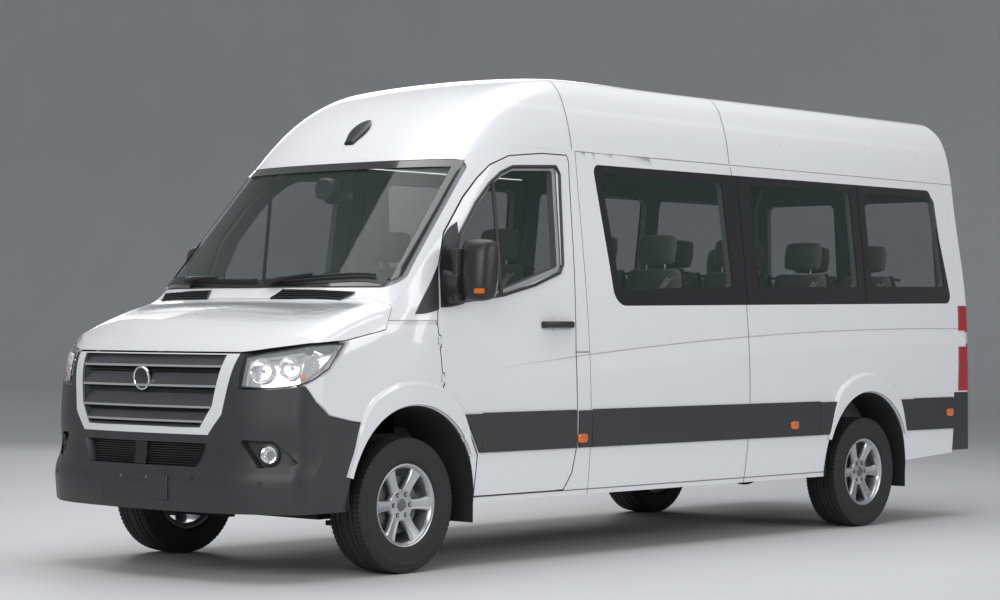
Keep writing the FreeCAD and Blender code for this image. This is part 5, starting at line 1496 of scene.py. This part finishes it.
def driver_place():
    """Steering wheel, binnacle with its dials, screen, vents, lever and the mirror at the windscreen."""
    steering_place()
    hood = []
    for x, wide, high, z in ((-0.486, 0.37, 0.12, 1.365), (-0.430, 0.39, 0.13, 1.372),
                             (-0.330, 0.38, 0.11, 1.365), (-0.250, 0.34, 0.05, 1.345)):
        hood.append([at(x, -DRIVER + a, z + b) for a, b in oval(wide, high, 3.5, 28)])
    dial = cylinder(0.050, 0, 0.004, sides=36)
    dials = [placed(dial, facing_matrix(at(-0.488, y, 1.368), TOWARDS_DRIVER)) for y in (-0.505, -0.355)]
    screen = [[at(x, 0.02 + a, 1.372 + b) for a, b in oval(wide, high, 6, 28)]
              for x, wide, high in ((-0.507, 0.24, 0.135), (-0.500, 0.25, 0.145), (-0.470, 0.24, 0.135))]
    piece("binnacle", loft(hood), CABIN_DARK, slot="cabin_plastic")
    piece("dials", joined(dials), GLOSS, slot="cabin_plastic")
    piece("centre_screen", loft(screen), GLOSS, slot="cabin_plastic")

    collar = turned([(-0.01, 0.034), (0.008, 0.034), (0.010, 0.040), (0.006, 0.046), (-0.01, 0.048)], 32,
                    closed=True)
    bars = [cylinder(0.0035, 0, 0.006, (0, z), 8) for z in (-0.018, 0, 0.018)]
    back = turned([(0.002, 0.001), (0.004, 0.001), (0.004, 0.034), (0.002, 0.034)], 24, closed=True)
    vent = joined([collar, *bars, back])
    vents = [placed(vent, facing_matrix(at(-0.481, y, 1.265), TOWARDS_DRIVER))
             for y in (-0.79, -0.17, 0.20, 0.79)]
    piece("dashboard_vents", joined(vents), CABIN_DARK, slot="cabin_plastic")

    lever = tube([at(-0.50, 0.0, 1.12), at(-0.56, 0.0, 1.16), at(*LEVER_TOP)], [0.012, 0.010, 0.010], 12)
    knob = loft([[at(*LEVER_TOP) + Vector((a, b, z)) for a, b in oval(size, size, 2, 20)]
                 for z, size in ((0.0, 0.022), (0.014, 0.044), (0.034, 0.046), (0.046, 0.030))])
    piece("gear_lever", joined([lever, knob]), CABIN_DARK, slot="cabin_plastic")

    spot = on_front(0.0, 2.085, -0.045)[0]
    house = loft([[spot + Vector((x, a, b - 0.35 * x)) for a, b in oval(wide, high, 3, 24)]
                  for x, wide, high in ((0.02, 0.12, 0.11), (0.0, 0.14, 0.12), (-0.03, 0.13, 0.10),
                                        (-0.055, 0.08, 0.06))])
    mirror = loft([[spot + Vector((x - 0.10, a, b - 0.045)) for a, b in oval(wide, high, 3, 28)]
                   for x, wide, high in ((0.016, 0.20, 0.055), (0.0, 0.235, 0.078), (-0.012, 0.22, 0.065))])
    piece("cabin_mirror", joined([house, mirror]), CABIN_DARK, slot="cabin_plastic")


# Tail


SPARE_PLACE = (-5.12, 0, 0.377)
SPARE_SIZE = 0.98


def tail():
    """Blank plate, handle, high lamp and step tread on the rear; the spare wheel slung below."""
    rows = [[on_rear(y, z, 0.010) for y in (0.13, 0.30, 0.47, 0.65)] for z in (1.105, 0.985)]
    piece("rear_plate_holder", slab(rows, 0.010), PLATE, "rear_door_left", bevel=0.003)
    grip = []
    for z, out in ((1.19, 0.004), (1.20, 0.024), (1.25, 0.030), (1.33, 0.030), (1.38, 0.024), (1.39, 0.004)):
        point = on_rear(-0.055, z, 0.0)[0]
        grip.append([point + Vector((-out + a, b, 0)) for a, b in oval(0.016, 0.032, 3, 16)])
    piece("rear_handle", loft(grip), TRIM, "rear_door_right", bevel=0.001)
    rows = [[on_rear(-0.16 + 0.32 * k / 10, z, 0.006) for k in range(11)] for z in (2.505, 2.475)]
    piece("high_stop_lamp", slab(rows, 0.012), TAIL, slot="red_lens", bevel=0.002)
    step = search_tree(["rear_bumper"])
    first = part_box("rear_bumper")[0].x - FRONT + 0.030
    ribs = []
    for k in range(7):
        x = first + k * 0.014
        tread = step.ray_cast(at(x, 0, 0.9), Vector((0, 0, -1)))[0].z
        ribs.append(tube([at(x, -0.62 + 1.24 * j / 8, tread + 0.001) for j in range(9)], 0.003, 6))
    piece("step_ribs", joined(ribs), TRIM)
    flat = Matrix.Translation(at(*SPARE_PLACE)) @ Matrix.Rotation(math.radians(90), 4, "X")
    squeeze = Matrix.Diagonal((SPARE_SIZE, SPARE_SIZE, SPARE_SIZE, 1))
    disc = turned([(0.030, 0.040), (0.034, 0.120), (0.060, 0.180), (0.080, 0.205), (-0.090, 0.205),
                   (-0.090, 0.190), (0.030, 0.170), (0.020, 0.120), (0.020, 0.040)], 60, closed=True)
    piece("spare_tyre", placed(turned(full_profile(), 120, closed=True), flat @ squeeze), RUBBER, slot="tyre")
    piece("spare_rim", placed(disc, flat), CHASSIS, slot="chassis_paint")


# Camera, light and floor


CAMERA_PLACE = (9.22, 9.7437, 1.277)
YAW, PITCH, ROLL = math.radians(-138.55), 0.0118, 0.0048
LENS, SENSOR = 87.98, 36


def camera():
    """The photograph's view."""
    ahead = Vector((math.cos(PITCH) * math.cos(YAW), math.cos(PITCH) * math.sin(YAW), math.sin(PITCH)))
    level = ahead.cross(Vector((0, 0, 1))).normalized()
    upright = level.cross(ahead)
    right = level * math.cos(ROLL) + upright * math.sin(ROLL)
    up = upright * math.cos(ROLL) - level * math.sin(ROLL)
    lens = bpy.data.cameras.new("camera")
    lens.sensor_width = SENSOR
    lens.lens = LENS
    thing = bpy.data.objects.new("camera", lens)
    bpy.context.scene.collection.objects.link(thing)
    turn = Matrix((right, up, -ahead)).transposed().to_4x4()
    thing.matrix_world = Matrix.Translation(at(*CAMERA_PLACE)) @ turn
    bpy.context.scene.camera = thing
    bpy.context.scene.view_settings.view_transform = "Standard"


def lamp(name, place, target, size, watts):
    """A large soft lamp."""
    light = bpy.data.lights.new(name, "AREA")
    light.shape = "RECTANGLE"
    light.size, light.size_y = size
    light.energy = watts
    thing = bpy.data.objects.new(name, light)
    bpy.context.scene.collection.objects.link(thing)
    thing.location = place
    thing.rotation_euler = (Vector(target) - Vector(place)).to_track_quat("-Z", "Y").to_euler()


def studio():
    """A plain pale floor and backdrop under soft light."""
    world = bpy.data.worlds.new("studio")
    bpy.context.scene.world = world
    world.use_nodes = True
    nodes, links = world.node_tree.nodes, world.node_tree.links
    nodes.clear()
    soft = nodes.new("ShaderNodeBackground")
    soft.inputs["Color"].default_value = (0.92, 0.95, 1.0, 1)
    soft.inputs["Strength"].default_value = 0.34
    seen = nodes.new("ShaderNodeBackground")
    seen.inputs["Color"].default_value = (0.6, 0.61, 0.62, 1)
    rays = nodes.new("ShaderNodeLightPath")
    choice = nodes.new("ShaderNodeMixShader")
    end = nodes.new("ShaderNodeOutputWorld")
    links.new(rays.outputs["Is Camera Ray"], choice.inputs[0])
    links.new(soft.outputs[0], choice.inputs[1])
    links.new(seen.outputs[0], choice.inputs[2])
    links.new(choice.outputs[0], end.inputs["Surface"])
    lamp("overhead", at(-1.5, 0, 8), at(-1.5, 0, 0), (9, 7), 560)
    lamp("front_left", at(8, 5, 4.5), at(-1.5, 0, 1.2), (6, 4), 330)
    lamp("side_left", at(-5, 11, 4.5), at(-2.5, 0, 1.2), (9, 3.5), 330)
    lamp("rear_right", at(-9, -9, 5), at(-2, 0, 1.2), (7, 4), 190)

    plain = Finish("studio_floor", (0.58, 0.59, 0.6), 0.6)
    cloud = plain.noise(0.6, 3)
    plain.vary("Base Color", plain.mix(cloud, (0.55, 0.56, 0.57), (0.61, 0.62, 0.63)))
    plain.bump(plain.noise(60, 2) * 0.0003)
    front, back, height, bend = 40, -30, 14, 6
    arc = [(back + bend - bend * math.sin(a), bend - bend * math.cos(a))
           for a in (math.pi / 2 * k / 12 for k in range(13))]
    rows = [[at(x, y, z) for x, z in [(front, 0), *arc, (back, height)]] for y in (-60, 60)]
    mesh = bpy.data.meshes.new("studio_floor")
    points, faces = grid(rows)
    mesh.from_pydata([tuple(p) for p in points], [], faces)
    mesh.materials.append(plain.material)
    mesh.polygons.foreach_set("use_smooth", [True] * len(mesh.polygons))
    ground = bpy.data.objects.new("studio_floor", mesh)
    bpy.context.scene.collection.objects.link(ground)


for step in (dress, wheels, grille, low_grille, headlamps, fog_lamps, bumper_details, doors, vents_and_wipers,
             flares, seats, driver_place, tail, camera, studio):
    step()
